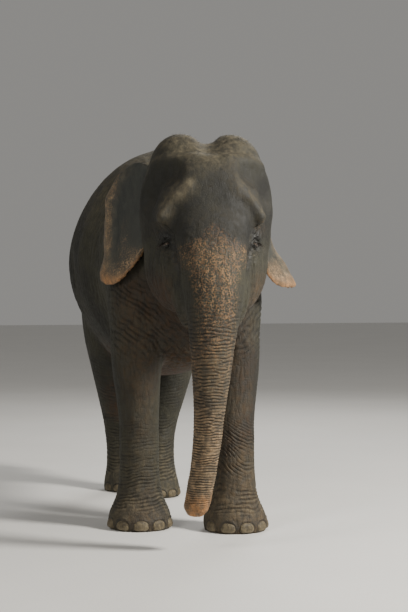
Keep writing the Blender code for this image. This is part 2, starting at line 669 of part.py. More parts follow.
def reduced(body):
    """The body in broad facets."""
    soften = body.modifiers.new("soften", "SMOOTH")
    soften.iterations = 3
    thin = body.modifiers.new("reduce", "DECIMATE")
    thin.ratio = BODY_TRIANGLES / sum(len(face.vertices) - 2 for face in body.data.polygons)
    return evaluated(body, "body")


def paint(obj, colour, roughness):
    material = bpy.data.materials.new(obj.name)
    material.use_nodes = True
    shader = material.node_tree.nodes["Principled BSDF"]
    shader.inputs["Base Color"].default_value = colour
    shader.inputs["Roughness"].default_value = roughness
    shader.inputs["Metallic"].default_value = 0.0
    obj.data.materials.clear()
    obj.data.materials.append(material)


def centre_on_floor(objects):
    points = np.array([v.co for obj in objects for v in obj.data.vertices])
    low, high = points.min(axis=0), points.max(axis=0)
    shift = Matrix.Translation((-(low[0] + high[0]) / 2, -(low[1] + high[1]) / 2, -low[2]))
    for obj in objects:
        obj.data.transform(shift)


def main():
    for obj in list(bpy.data.objects):
        bpy.data.objects.remove(obj)
    body = make_body()
    sculpt(body.data)
    pieces = part_body(reduced(body))
    for name, side in SIDES.items():
        eye = make_eye("eye_" + name, side)
        pieces["head"] = combine(pieces["head"], swollen(eye), "DIFFERENCE")
        pieces[eye.name] = eye
        for kind in ("fore", "hind"):
            foot = f"{kind}_foot_{name}"
            for nail in make_nails(kind, name, side):
                pieces[foot] = combine(pieces[foot], swollen(nail), "DIFFERENCE")
                pieces[nail.name] = nail
        ear = make_ear(name, side)
        pieces["ear_" + name] = largest_after(ear, [pieces["head"], pieces["neck"], pieces["torso"]])
    below = [(-1.0, 0.0), (1.0, 0.0), (1.0, TUFT_TOP), (-1.0, TUFT_TOP)]
    tuft, tail = part_off(make_tail(), "tail_tuft", (below, "Y", (1.0, 2.0), Matrix.Identity(4)))
    pieces["tail_tuft"] = tuft
    pieces["tail"] = largest_after(tail, [pieces["torso"]])
    for name, piece in pieces.items():
        colour, roughness = next(finish for prefix, finish in FINISHES if name.startswith(prefix))
        paint(piece, colour, roughness)
    centre_on_floor(list(pieces.values()))


main()
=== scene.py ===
"""The looks of a life-size Asian elephant cow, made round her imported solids.

One skin takes the place of all the flesh. Eyes, nails and hair are pieces of their own. The body's forms
are the ones that her solids were made from, merged on a finer grid and given folds, lids and creases.
Metres, +Z up. She faces -Y, so her left side is +X.
"""

import math

import bmesh
import bpy
import numpy as np
from mathutils import Matrix, Vector
from mathutils.kdtree import KDTree


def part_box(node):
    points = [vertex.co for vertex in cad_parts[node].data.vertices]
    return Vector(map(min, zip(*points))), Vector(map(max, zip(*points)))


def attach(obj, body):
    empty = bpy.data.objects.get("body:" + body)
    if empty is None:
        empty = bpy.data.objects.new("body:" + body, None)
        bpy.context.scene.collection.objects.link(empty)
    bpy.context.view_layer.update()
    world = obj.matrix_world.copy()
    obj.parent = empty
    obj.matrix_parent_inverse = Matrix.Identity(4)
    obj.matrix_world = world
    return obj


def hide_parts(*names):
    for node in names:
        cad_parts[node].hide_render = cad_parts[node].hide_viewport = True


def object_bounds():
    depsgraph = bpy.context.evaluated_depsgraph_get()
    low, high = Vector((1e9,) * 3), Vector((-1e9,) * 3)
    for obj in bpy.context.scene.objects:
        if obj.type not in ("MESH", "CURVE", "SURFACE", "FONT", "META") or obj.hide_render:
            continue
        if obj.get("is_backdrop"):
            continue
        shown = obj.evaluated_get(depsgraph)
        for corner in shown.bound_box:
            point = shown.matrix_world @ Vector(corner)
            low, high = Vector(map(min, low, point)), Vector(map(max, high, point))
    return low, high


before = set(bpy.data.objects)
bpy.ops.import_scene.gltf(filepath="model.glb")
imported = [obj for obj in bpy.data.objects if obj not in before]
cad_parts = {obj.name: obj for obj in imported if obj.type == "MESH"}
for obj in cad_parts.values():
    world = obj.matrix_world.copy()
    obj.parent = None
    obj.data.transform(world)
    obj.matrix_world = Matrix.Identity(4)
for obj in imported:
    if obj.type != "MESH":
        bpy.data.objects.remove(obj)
CAD_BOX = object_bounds()

bl_info = {
    "name": "Elephant dresser",
    "version": (1, 0, 0),
    "blender": (4, 5, 0),
    "location": "3D View > Sidebar > Elephant",
    "description": "Makes the skin, eyes, nails, hair and studio of a life-size elephant",
    "category": "Object",
}


# ---- the body's driving dimensions -------------------------------------------------------------------
CLAY_CELL = 0.022               # grid on which the broad forms are merged
SKIN_CELL = 0.0075              # grid on which body, ears and tail become one surface
BACK_TOP = 2.38                 # highest point of the arched back
BARREL_HALF_WIDTH = 0.580
HEAD_TURN = math.radians(-7.5)  # the head looks slightly to her right
HEAD_PIVOT = Vector((0.0, -0.80, 1.80))
HEAD_SHIFT = Vector((0.061, 0.0, 0.0))
FOOT_PLACES = {                 # centre of each sole
    "fore_left": (0.268, -0.80),
    "fore_right": (-0.283, -0.60),
    "hind_left": (0.085, 0.64),
    "hind_right": (-0.120, 0.96),
}
SHOULDER = (0.30, -0.62)        # where the leg's axis meets the body: distance from the midline, and Y
HIP = (0.24, 0.86)
SOLE = -0.06                    # the moulded legs run on below the floor, which then cuts them flat
TOE_OUT = 8                     # degrees
NAILS = {                       # headings, distance from the foot's centre to side and ahead, width, height
    "fore": ((-70, -35, 0, 35, 70), 0.182, 0.190, 0.092, 0.066),
    "hind": ((-54, -18, 18, 54), 0.128, 0.164, 0.076, 0.056),
}
NAIL_DEPTH = 0.022
NAIL_LEAN = math.radians(-12)
NAIL_CLEARANCE = 0.004          # the nails stop just above the sole
EYE_RADIUS = 0.021
EYE_CENTRE = Vector((0.247, -1.345, 1.711))
TRUNK_TIP_Z = 0.190
TUFT_TOP = 0.94                 # where the tail's long hair begins
EAR_TOP = Vector((0.290, -0.985, 2.10))     # ends of the ear's root line
EAR_BOTTOM = Vector((0.330, -0.985, 1.66))
EAR_SPREAD = {"left": math.radians(12), "right": math.radians(38)}   # between the ear and the head's side
EAR_FLARE = {"left": 0.42, "right": 0.12}   # how strongly the lobe curls outwards
EAR_REACH = 0.45                # from the root line to the outer edge
EAR_ROOT_THICK = 0.036
EAR_RIM_THICK = 0.018
EAR_RIPPLE = 0.011              # height of the waves along the free edge
EAR_FOLD = 0.011                # height of the long fold inside the outer edge
EAR_CURL = 0.016                # how far the rim of the upper edge rolls over
EAR_ROOT_DEPTH = 0.36           # sets how deep the sheet starts inside the head
EAR_ROWS = 64                   # points of the sheet down the root line, out to the edge, and inside the head
EAR_COLUMNS = 30
EAR_INNER_COLUMNS = 6
# rays from the root line to the edge: share of the line from its top, degrees above the horizontal, length
EAR_TOP_ROWS = [(0.00, 70, 0.090), (0.05, 51, 0.170), (0.14, 34, 0.270), (0.28, 14, 0.385)]
EAR_LOBE_ROWS = {
    "left": [
        (0.44, -4, 0.430), (0.60, -21, 0.455), (0.74, -37, 0.455), (0.88, -55, 0.300), (1.00, -74, 0.095),
    ],
    "right": [
        (0.43, -4, 0.428), (0.56, -22, 0.460), (0.65, -37, 0.490), (0.75, -51, 0.355), (0.86, -57, 0.045),
    ],
}
SLIT_SLANT = math.radians(16)   # the slit between the lids slopes down towards the trunk
SLIT_HALF = 0.025
SLIT_ABOVE = 0.0100
SLIT_BELOW = 0.0080
SLIT_POINTED = 1.35             # above 1, the corners of the slit are drawn out
EYE_SUNK = 0.009                # how far the skin behind the slit lies below the ball's surface
LID_THICK = 0.004
LID_FOLDS = ((0.009, 0.0028), (0.018, 0.0038), (0.028, 0.0034), (0.040, 0.0026))   # distance, depth
CUTICLE = 0.006                 # height of the roll of skin round a nail
NOSTRIL = Vector((-0.106, -1.468, 0.192))
NOSTRIL_APART = 0.021
NOSTRIL_DEPTH = 0.034
SKIN_TRIANGLES = 198_000
RING_START = 0.0105             # spacing of the trunk's rings at the floor, and its growth for each metre up
RING_GROWTH = 0.0085
FOLD_SPACING = 0.022            # between the folds round wrists and ankles
THROAT_SPACING = 0.040
FLANK_SPACING = 0.062
FINE_STROKES = [                # in the head's frame: route, radius, height
    ([(0.10, -1.30, 2.20), (0.21, -1.25, 2.20), (0.30, -1.15, 2.17)], 0.060, 0.012),     # edge of the dome
    ([(0.215, -1.33, 2.10), (0.28, -1.26, 2.07), (0.325, -1.21, 1.99)], 0.115, -0.036),  # temple
    ([(0.300, -1.31, 1.99), (0.335, -1.25, 1.90)], 0.070, -0.012),         # temple's lower end
    ([(0.14, -1.43, 2.04), (0.19, -1.42, 1.985), (0.245, -1.40, 1.93), (0.268, -1.39, 1.87)], 0.060, 0.011),
    ([(0.20, -1.42, 1.975), (0.245, -1.40, 1.93), (0.268, -1.39, 1.88)], 0.038, 0.009),  # brow
    ([(0.276, -1.383, 1.856)], 0.046, 0.013),                              # brow knob
    ([(0.300, -1.340, 1.795)], 0.055, -0.014),                             # hollow under the knob
    # folds over the eye and the hood of the lid
    ([(0.292, -1.366, 1.836), (0.250, -1.400, 1.800), (0.212, -1.440, 1.730)], 0.011, -0.010),
    ([(0.286, -1.380, 1.818), (0.250, -1.405, 1.780), (0.222, -1.434, 1.726)], 0.012, 0.006),
    ([(0.305, -1.350, 1.808), (0.268, -1.385, 1.768), (0.236, -1.420, 1.720)], 0.010, -0.009),
    ([(0.300, -1.340, 1.782), (0.274, -1.372, 1.754), (0.246, -1.400, 1.728)], 0.012, 0.006),
    ([(0.318, -1.330, 1.785), (0.296, -1.350, 1.752)], 0.010, -0.006),
    # folds below the eye
    ([(0.235, -1.400, 1.690), (0.215, -1.440, 1.650), (0.205, -1.460, 1.580)], 0.014, -0.006),
    ([(0.295, -1.330, 1.690), (0.265, -1.375, 1.665), (0.240, -1.410, 1.655)], 0.011, -0.005),
    ([(0.285, -1.340, 1.665), (0.255, -1.385, 1.638), (0.235, -1.415, 1.630)], 0.009, -0.004),
    # folds down the cheek
    ([(0.195, -1.475, 1.560), (0.190, -1.470, 1.440), (0.182, -1.450, 1.340)], 0.018, -0.007),
    ([(0.240, -1.410, 1.620), (0.232, -1.415, 1.500), (0.215, -1.400, 1.380)], 0.014, -0.006),
    ([(0.278, -1.345, 1.640), (0.272, -1.330, 1.520), (0.262, -1.300, 1.400)], 0.014, -0.005),
    ([(0.312, -1.240, 1.640), (0.305, -1.220, 1.500)], 0.016, -0.005),
    ([(0.262, -1.385, 1.560), (0.250, -1.385, 1.470), (0.238, -1.365, 1.400)], 0.011, -0.004),
    # the mouth and its lip
    ([(0.165, -1.17, 1.42), (0.135, -1.27, 1.33), (0.085, -1.34, 1.24), (0.035, -1.375, 1.17)],
     0.020, -0.012),
    ([(0.165, -1.17, 1.42), (0.135, -1.27, 1.33), (0.085, -1.34, 1.24)], 0.050, 0.004),
]
HAIR = {                        # seed of the random draws, count, radius at the root, sag, bends
    "crown_bristles": (11, 620, 0.0005, 0.25, 4),
    "chin_bristles": (12, 260, 0.0008, 0.35, 4),
    "lashes": (13, 30, 0.0008, 0.45, 6),
    "tail_tuft_hair": (14, 520, 0.0016, 0.0, 7),
}
TUFT_HAIR_LENGTH = 0.34         # longest
EYE_GAZE = Vector((0.80, -0.59, -0.05))     # where the left eye looks, in the head's frame
CORNEA_RISE = 0.0016
CORNEA_EDGE = 0.72              # radians from the line of sight
NOSTRIL_RADIUS = 0.021
FINE_REACH = {"eye": 0.13, "lids": 0.065, "trunk": 0.16}    # where the skin's mesh is divided again
# colour fields on the skin, in the head's frame
# route of the painted highlight along each brow ridge
BROW_HIGHLIGHT_RIDGE = [(0.15, -1.43, 2.03), (0.21, -1.41, 1.98), (0.26, -1.39, 1.91), (0.272, -1.383, 1.86)]
TEAR_STREAK = [(0.247, -1.370, 1.716), (0.225, -1.430, 1.690), (0.212, -1.460, 1.640), (0.205, -1.470, 1.570)]
# centre of the painted shade in each eye socket
EYE_SOCKET_SHADE = [(0.262, -1.365, 1.735)]
TRUNK_AXIS = [
    (-0.100, -1.470, 0.20), (-0.062, -1.520, 0.44), (-0.028, -1.560, 0.80), (-0.012, -1.555, 1.18),
    (0.000, -1.490, 1.54), (0.000, -1.400, 1.80),
]
# the patch without pigment on the face and trunk: half width, and strength, at each height
PATCH_HALF_WIDTH = [
    (1.15, 0.11), (1.30, 0.11), (1.45, 0.12), (1.56, 0.14), (1.63, 0.20), (1.70, 0.19), (1.76, 0.08),
    (1.84, 0.01),
]
PATCH_STRENGTH = [
    (0.25, 1.0), (0.32, 0.50), (0.60, 0.40), (1.00, 0.44), (1.30, 0.75), (1.50, 0.95), (1.70, 1.0),
    (1.80, 0.7), (1.86, 0.0),
]

CAMERA_PLACE = (-1.8634, -8.9041, 1.5)
CAMERA_AZIMUTH = -13.0
CAMERA_DIP = 0.98               # degrees below the horizontal
CAMERA_LENS = 82.35             # mm, on a sensor of
CAMERA_SENSOR = 36.0


# ---- colours -----------------------------------------------------------------------------------------
HIDE_DARK = (0.0112, 0.0109, 0.0062, 1.0)
HIDE_MID = (0.036, 0.034, 0.019, 1.0)
# painted bounce light: orange light thrown up from the ground onto throat and belly
BOUNCE_LIGHT_ORANGE = (0.078, 0.032, 0.008, 1.0)
# grey of the ears, tinted blue by a painted sky reflection
EAR_GREY_AND_SKY_REFLECTION = (0.036, 0.040, 0.036, 1.0)
CREAM = (0.320, 0.220, 0.125, 1.0)
# on the skin this colour also paints the highlight along the brow ridges
DUST = (0.170, 0.138, 0.084, 1.0)
TAN_DARK = (0.095, 0.052, 0.022, 1.0)
TAN_LIGHT = (0.215, 0.125, 0.058, 1.0)
TAN_BARE = (0.400, 0.180, 0.060, 1.0)
NAIL_DARK = (0.054, 0.041, 0.021, 1.0)
NAIL_LIGHT = (0.140, 0.110, 0.060, 1.0)
IRIS_INNER = (0.060, 0.026, 0.010, 1.0)
IRIS_OUTER = (0.020, 0.010, 0.005, 1.0)
PUPIL = (0.003, 0.003, 0.003, 1.0)
EYE_WHITE = (0.200, 0.150, 0.110, 1.0)
EYE_BROWN = (0.050, 0.026, 0.018, 1.0)
HAIR_ROOT = (0.014, 0.012, 0.010, 1.0)
HAIR_TIP = (0.050, 0.036, 0.026, 1.0)
FLOOR_LOW = (0.640, 0.632, 0.612, 1.0)
FLOOR_HIGH = (0.720, 0.712, 0.692, 1.0)
SIDES = {"left": 1.0, "right": -1.0}


# ---- making shapes -----------------------------------------------------------------------------------
LEAST_REACH = 0.004             # of a tube to each side, so that its ends stay open rings


def spline(rows, count):
    """A Catmull-Rom curve through rows of numbers, read at count even steps of row number."""
    rows = np.array(rows, float)
    padded = np.vstack([2 * rows[0] - rows[1], rows, 2 * rows[-1] - rows[-2]])
    at = np.linspace(0, len(rows) - 1, count)
    first = np.minimum(at.astype(int), len(rows) - 2)
    t = (at - first)[:, None]
    p0, p1, p2, p3 = (padded[first + k] for k in range(4))
    return 0.5 * (2 * p1 + (p2 - p0) * t + (2 * p0 - 5 * p1 + 4 * p2 - p3) * t**2
                  + (3 * p1 - p0 - 3 * p2 + p3) * t**3)


def power(value, exponent):
    """A power that keeps the sign."""
    return np.sign(value) * np.abs(value) ** exponent


def loft(bm, stations, rings=28, segments=28, side=(1, 0, 0)):
    """A closed tube through stations of (x, y, z, half side, reach up, reach down, squareness).

    Up is square to the side axis and to the route: +Z for a form that lies along Y, and -Y, forwards,
    for one that stands. Squareness 1 is an ellipse, and less is boxier.
    """
    rows = spline(stations, rings)
    centres = rows[:, :3]
    travel = np.gradient(centres, axis=0)
    travel /= np.linalg.norm(travel, axis=1)[:, None]
    across = np.array(side, float) - travel * (travel @ np.array(side, float))[:, None]
    across /= np.linalg.norm(across, axis=1)[:, None]
    up = np.cross(across, travel)
    up *= np.where(up @ (0, -1, 1) < 0, -1, 1)[:, None]
    angle = np.linspace(0, 2 * math.pi, segments, endpoint=False)
    loops = []
    for centre, s, u, row in zip(centres, across, up, rows):
        half, above, below, square = np.maximum(row[3:], LEAST_REACH)
        sideways = half * power(np.cos(angle), square)
        reach = np.where(np.sin(angle) > 0, above, below) * power(np.sin(angle), square)
        points = centre + np.outer(sideways, s) + np.outer(reach, u)
        loops.append([bm.verts.new(p) for p in points])
    for a, b in zip(loops, loops[1:]):
        for k in range(segments):
            j = (k + 1) % segments
            bm.faces.new((a[k], a[j], b[j], b[k]))
    bm.faces.new(loops[0])
    bm.faces.new(loops[-1])


def lump(bm, centre, radii, tilt=0.0):
    """An ellipsoid, tilted about the side axis."""
    place = Matrix.Translation(centre) @ Matrix.Rotation(tilt, 4, "X") @ Matrix.Diagonal((*radii, 1.0))
    bmesh.ops.create_uvsphere(bm, u_segments=24, v_segments=14, radius=1.0, matrix=place)


def mirrored(x, y, z):
    """The point on her left and its mirror on her right."""
    return [Vector((side * x, y, z)) for side in SIDES.values()]


# ---- forms of the body -------------------------------------------------------------------------------
def torso_forms(bm):
    """The barrel of the body, from chest to rump."""
    # y, top, bottom, half width, height of the widest point
    sections = [
        (-0.98, 1.66, 1.34, 0.05, 1.50),
        (-0.94, 1.88, 1.16, 0.22, 1.52),
        (-0.80, 2.06, 1.02, 0.36, 1.55),
        (-0.50, 2.20, 0.93, 0.47, 1.58),
        (-0.15, 2.31, 0.89, 0.55, 1.61),
        (0.20, BACK_TOP, 0.87, BARREL_HALF_WIDTH, 1.63),
        (0.52, 2.33, 0.89, 0.572, 1.62),
        (0.82, 2.21, 0.98, 0.522, 1.60),
        (1.06, 2.06, 1.10, 0.455, 1.58),
        (1.22, 1.88, 1.24, 0.350, 1.56),
        (1.31, 1.70, 1.38, 0.190, 1.54),
        (1.34, 1.58, 1.48, 0.050, 1.53),
    ]
    loft(bm, [(0, y, middle, half, top - middle, middle - bottom, 1.08)
              for y, top, bottom, half, middle in sections], rings=48, segments=36)


def neck_forms(bm):
    """The short thick neck, from inside the torso into the head."""
    loft(bm, [
        (0.000, -0.40, 1.66, 0.34, 0.44, 0.60, 0.98),
        (0.020, -0.68, 1.70, 0.345, 0.40, 0.56, 0.98),
        (0.040, -0.92, 1.76, 0.33, 0.37, 0.48, 0.98),
        (0.050, -1.10, 1.80, 0.30, 0.36, 0.44, 0.98),
    ])


def head_forms(bm):
    """Cranium, face, domes, brows, cheeks, sheaths and lower jaw."""
    # cranium, from nape to face
    loft(bm, [
        (0, -0.80, 1.84, 0.22, 0.24, 0.26, 0.95),
        (0, -0.90, 1.86, 0.340, 0.36, 0.38, 0.86),
        (0, -1.02, 1.88, 0.388, 0.43, 0.40, 0.78),
        (0, -1.14, 1.88, 0.388, 0.43, 0.40, 0.78),
        (0, -1.24, 1.87, 0.350, 0.35, 0.36, 0.86),
        (0, -1.32, 1.83, 0.280, 0.24, 0.29, 0.94),
        (0, -1.38, 1.78, 0.190, 0.14, 0.19, 1.00),
        (0, -1.42, 1.74, 0.080, 0.05, 0.08, 1.00),
    ], rings=40)
    # face, from the mouth up to the forehead
    loft(bm, [
        (0, -1.32, 1.28, 0.09, 0.08, 0.10, 1.00),
        (0, -1.33, 1.36, 0.15, 0.14, 0.16, 0.98),
        (0, -1.33, 1.48, 0.190, 0.17, 0.20, 0.96),
        (0, -1.32, 1.62, 0.228, 0.185, 0.22, 0.95),
        (0, -1.31, 1.76, 0.258, 0.185, 0.22, 0.95),
        (0, -1.28, 1.90, 0.268, 0.150, 0.22, 1.00),
        (0, -1.24, 2.04, 0.230, 0.115, 0.20, 1.00),
        (0, -1.18, 2.17, 0.150, 0.085, 0.12, 1.00),
    ], rings=36)
    for centre in mirrored(0.146, -1.04, 2.145):     # twin domes
        lump(bm, centre, (0.192, 0.22, 0.225))
    for centre in mirrored(0.242, -1.325, 1.87):     # brow knobs
        lump(bm, centre, (0.066, 0.090, 0.075))
    for centre in mirrored(0.195, -1.315, 1.95):     # orbital ridges
        lump(bm, centre, (0.090, 0.075, 0.130))
    for centre in mirrored(0.245, -1.295, 1.79):     # upper lid, between brow and eye
        lump(bm, centre, (0.070, 0.085, 0.075))
    # cheek, from under the eye back to the angle of the jaw
    for side in SIDES.values():
        loft(bm, [
            (side * 0.10, -1.44, 1.60, 0.10, 0.14, 0.14, 0.95),
            (side * 0.14, -1.35, 1.60, 0.125, 0.20, 0.24, 0.94),
            (side * 0.17, -1.20, 1.60, 0.160, 0.24, 0.28, 0.92),
            (side * 0.18, -1.06, 1.62, 0.185, 0.26, 0.25, 0.94),
            (side * 0.16, -0.93, 1.66, 0.15, 0.20, 0.19, 0.96),
        ])
        # sheath of the tush, running down beside the trunk
        loft(bm, [
            (side * 0.13, -1.34, 1.24, 0.035, 0.04, 0.04, 1.0),
            (side * 0.135, -1.38, 1.34, 0.070, 0.08, 0.09, 1.0),
            (side * 0.135, -1.41, 1.48, 0.085, 0.10, 0.12, 1.0),
            (side * 0.13, -1.40, 1.64, 0.090, 0.10, 0.12, 1.0),
        ])
    # lower jaw, forwards and down to the pointed lip
    loft(bm, [
        (0, -0.96, 1.44, 0.20, 0.16, 0.15, 0.94),
        (0, -1.08, 1.38, 0.17, 0.16, 0.13, 0.94),
        (0, -1.19, 1.31, 0.125, 0.12, 0.10, 0.96),
        (0, -1.28, 1.23, 0.080, 0.07, 0.065, 1.00),
        (0, -1.335, 1.15, 0.036, 0.03, 0.03, 1.00),
    ])


def trunk_forms(bm):
    """The trunk and the two lips of its tip."""
    # from the tip up to the forehead, so that reach up is towards the front
    loft(bm, [
        (-0.106, -1.462, TRUNK_TIP_Z, 0.050, 0.030, 0.035, 1.00),
        (-0.098, -1.475, 0.235, 0.076, 0.066, 0.060, 0.95),
        (-0.084, -1.495, 0.310, 0.080, 0.076, 0.070, 0.95),
        (-0.062, -1.520, 0.440, 0.080, 0.080, 0.078, 0.95),
        (-0.042, -1.545, 0.600, 0.083, 0.086, 0.084, 0.95),
        (-0.028, -1.560, 0.800, 0.092, 0.100, 0.095, 0.95),
        (-0.018, -1.562, 1.000, 0.113, 0.118, 0.110, 0.95),
        (-0.012, -1.555, 1.180, 0.132, 0.135, 0.120, 0.95),
        (0.000, -1.530, 1.360, 0.158, 0.148, 0.140, 0.95),
        (0.000, -1.490, 1.540, 0.185, 0.150, 0.160, 0.92),
        (0.000, -1.430, 1.720, 0.210, 0.140, 0.180, 0.94),
        (0.000, -1.350, 1.900, 0.220, 0.120, 0.160, 1.00),
        (0.000, -1.255, 2.060, 0.210, 0.100, 0.140, 1.00),
        (0.000, -1.150, 2.200, 0.130, 0.070, 0.100, 1.00),
    ], rings=60)
    lump(bm, (-0.116, -1.492, 0.236), (0.045, 0.040, 0.045))   # finger of the tip
    lump(bm, (-0.046, -1.478, 0.330), (0.050, 0.058, 0.040))   # lip across from it


def leg_forms(bm, sections, side, foot, top):
    """A leg from sole to body. Sections give height, share of the way from foot to top, lean outwards,
    bend backwards, half side, reach ahead and reach behind."""
    foot_x, foot_y = foot
    top_x, top_y = side * top[0], top[1]
    loft(bm, [(foot_x + (top_x - foot_x) * share + side * lean, foot_y + (top_y - foot_y) * share + bend, z,
               half, ahead, behind, 0.95)
              for z, share, lean, bend, half, ahead, behind in sections], rings=56)

FORE_SECTIONS = [
    (SOLE, 0.00, 0.000, 0.000, 0.176, 0.188, 0.178),
    (0.000, 0.00, 0.000, 0.000, 0.186, 0.198, 0.186),
    (0.035, 0.00, 0.000, 0.000, 0.198, 0.207, 0.192),
    (0.100, 0.00, 0.000, 0.000, 0.190, 0.198, 0.182),
    (0.170, 0.02, 0.000, 0.000, 0.154, 0.164, 0.160),
    (0.250, 0.05, 0.000, 0.000, 0.134, 0.140, 0.140),
    (0.380, 0.10, 0.000, 0.000, 0.124, 0.134, 0.136),
    (0.520, 0.20, 0.000, 0.000, 0.124, 0.142, 0.142),
    (0.660, 0.32, 0.000, 0.000, 0.124, 0.146, 0.150),
    (0.820, 0.50, 0.004, 0.000, 0.136, 0.165, 0.185),
    (1.000, 0.70, 0.008, 0.005, 0.152, 0.200, 0.230),
    (1.200, 0.88, 0.000, 0.010, 0.165, 0.235, 0.270),
    (1.430, 1.00, 0.005, 0.020, 0.172, 0.255, 0.290),
    (1.700, 1.00, -0.030, 0.030, 0.155, 0.225, 0.260),
    (1.930, 1.00, -0.100, 0.050, 0.085, 0.150, 0.170),
]
HIND_SECTIONS = [
    (SOLE, 0.00, 0.000, 0.000, 0.132, 0.165, 0.140),
    (0.000, 0.00, 0.000, 0.000, 0.139, 0.174, 0.147),
    (0.035, 0.00, 0.000, 0.000, 0.142, 0.180, 0.150),
    (0.090, 0.00, 0.000, 0.000, 0.138, 0.172, 0.148),
    (0.150, 0.02, 0.000, 0.010, 0.122, 0.142, 0.134),
    (0.250, 0.06, 0.000, 0.035, 0.108, 0.118, 0.122),
    (0.400, 0.14, 0.000, 0.055, 0.107, 0.118, 0.130),
    (0.540, 0.26, 0.000, 0.050, 0.116, 0.136, 0.146),
    (0.720, 0.45, 0.005, 0.010, 0.135, 0.185, 0.190),
    (0.920, 0.65, 0.010, -0.020, 0.158, 0.245, 0.260),
    (1.150, 0.85, 0.010, -0.010, 0.182, 0.310, 0.340),
    (1.400, 1.00, 0.000, 0.000, 0.190, 0.340, 0.370),
    (1.680, 1.00, -0.020, 0.000, 0.165, 0.290, 0.290),
    (1.900, 1.00, -0.080, 0.000, 0.090, 0.180, 0.170),
]


def head_place():
    """Where the head's own symmetric frame lies in the body's frame."""
    turn = Matrix.Rotation(HEAD_TURN, 4, "Z")
    return Matrix.Translation(HEAD_PIVOT + HEAD_SHIFT) @ turn @ Matrix.Translation(-HEAD_PIVOT)


# ---- sculpting strokes -------------------------------------------------------------------------------
# route of the stroke, its radius, and how far it raises the surface, or presses it where negative
HEAD_STROKES = [
    ([(0.22, -1.26, 2.07), (0.29, -1.20, 2.00)], 0.150, -0.034),          # temple hollow
    ([(0.14, -1.31, 2.05), (0.20, -1.34, 1.96), (0.255, -1.36, 1.88)], 0.080, 0.014),   # brow ridge
    ([(0.262, -1.35, 1.850)], 0.060, 0.014),                              # brow knob
    ([(0.265, -1.37, 1.715)], 0.060, -0.016),                             # eye socket
    ([(0.215, -1.45, 1.66), (0.205, -1.46, 1.52)], 0.070, -0.018),        # hollow between cheek and trunk
    ([(0.33, -1.20, 1.86), (0.35, -1.10, 1.80)], 0.090, -0.014),          # hollow behind the brow
    ([(0.37, -0.95, 2.12), (0.385, -0.96, 1.70)], 0.080, -0.020),         # in front of the ear
]
HEAD_MIDLINE_STROKES = [
    ([(0, -0.86, 2.30), (0, -1.10, 2.36), (0, -1.25, 2.26)], 0.085, -0.026),   # cleft between the domes
    ([(0, -1.36, 2.08), (0, -1.42, 1.96)], 0.110, -0.010),                # hollow of the forehead
]
BODY_STROKES = [
    ([(0.36, -0.84, 2.00), (0.43, -0.88, 1.60), (0.38, -0.92, 1.25)], 0.160, -0.026),   # front of shoulder
    ([(0.44, -0.20, 2.05), (0.53, -0.22, 1.60), (0.46, -0.28, 1.15)], 0.240, -0.030),   # back of shoulder
    ([(0.36, -0.48, 2.06), (0.46, -0.60, 1.60)], 0.180, 0.020),           # ridge of the shoulder blade
    ([(0.53, 0.42, 1.55), (0.48, 0.46, 1.18)], 0.260, -0.036),            # flank hollow
    ([(0.36, 0.76, 2.08)], 0.200, 0.026),                                 # point of the hip
    ([(0.34, 1.04, 1.88), (0.38, 1.08, 1.60)], 0.180, -0.014),            # behind the hip
]
BODY_MIDLINE_STROKES = [
    ([(0, -0.45, 2.22), (0, 0.20, 2.38), (0, 0.80, 2.22), (0, 1.10, 2.04)], 0.090, 0.014),   # spine
]


def distance_to_route(points, route):
    """Distance from each point to the polyline."""
    route = np.array(route, float)
    if len(route) == 1:
        return np.linalg.norm(points - route[0], axis=1)
    best = np.full(len(points), np.inf)
    for a, b in zip(route, route[1:]):
        run = b - a
        share = np.clip((points - a) @ run / (run @ run), 0, 1)
        best = np.minimum(best, np.linalg.norm(points - a - share[:, None] * run, axis=1))
    return best


def placed(route, place, side=1.0):
    """A route mirrored for its side and carried by a matrix."""
    return [tuple(place @ Vector((x * side, y, z))) for x, y, z in route]


def all_strokes():
    """Every broad stroke in the body's frame: route, radius, height."""
    here = Matrix.Identity(4)
    for strokes, midline, place in ((HEAD_STROKES, HEAD_MIDLINE_STROKES, head_place()),
                                    (BODY_STROKES, BODY_MIDLINE_STROKES, here)):
        for route, radius, height in strokes:
            for side in SIDES.values():
                yield placed(route, place, side), radius, height
        for route, radius, height in midline:
            yield placed(route, place), radius, height


# ---- node trees --------------------------------------------------------------------------------------
class Wire:
    """One output of a node tree that takes part in Python arithmetic."""

    def __init__(self, tree, socket):
        self.tree = tree
        self.socket = socket

    def math(self, operation, *others, clamp=False):
        sockets = dict(enumerate((self, *others)))
        return self.tree("ShaderNodeMath", {"operation": operation, "use_clamp": clamp}, sockets)

    def __add__(self, other):
        return self.math("ADD", other)

    def __sub__(self, other):
        return self.math("SUBTRACT", other)

    def __rsub__(self, other):
        return self.math("MULTIPLY_ADD", -1.0, other)

    def __mul__(self, other):
        return self.math("MULTIPLY", other)

    def __abs__(self):
        return self.math("ABSOLUTE")

    __radd__ = __add__
    __rmul__ = __mul__

    def clamped(self):
        return self.math("ADD", 0.0, clamp=True)


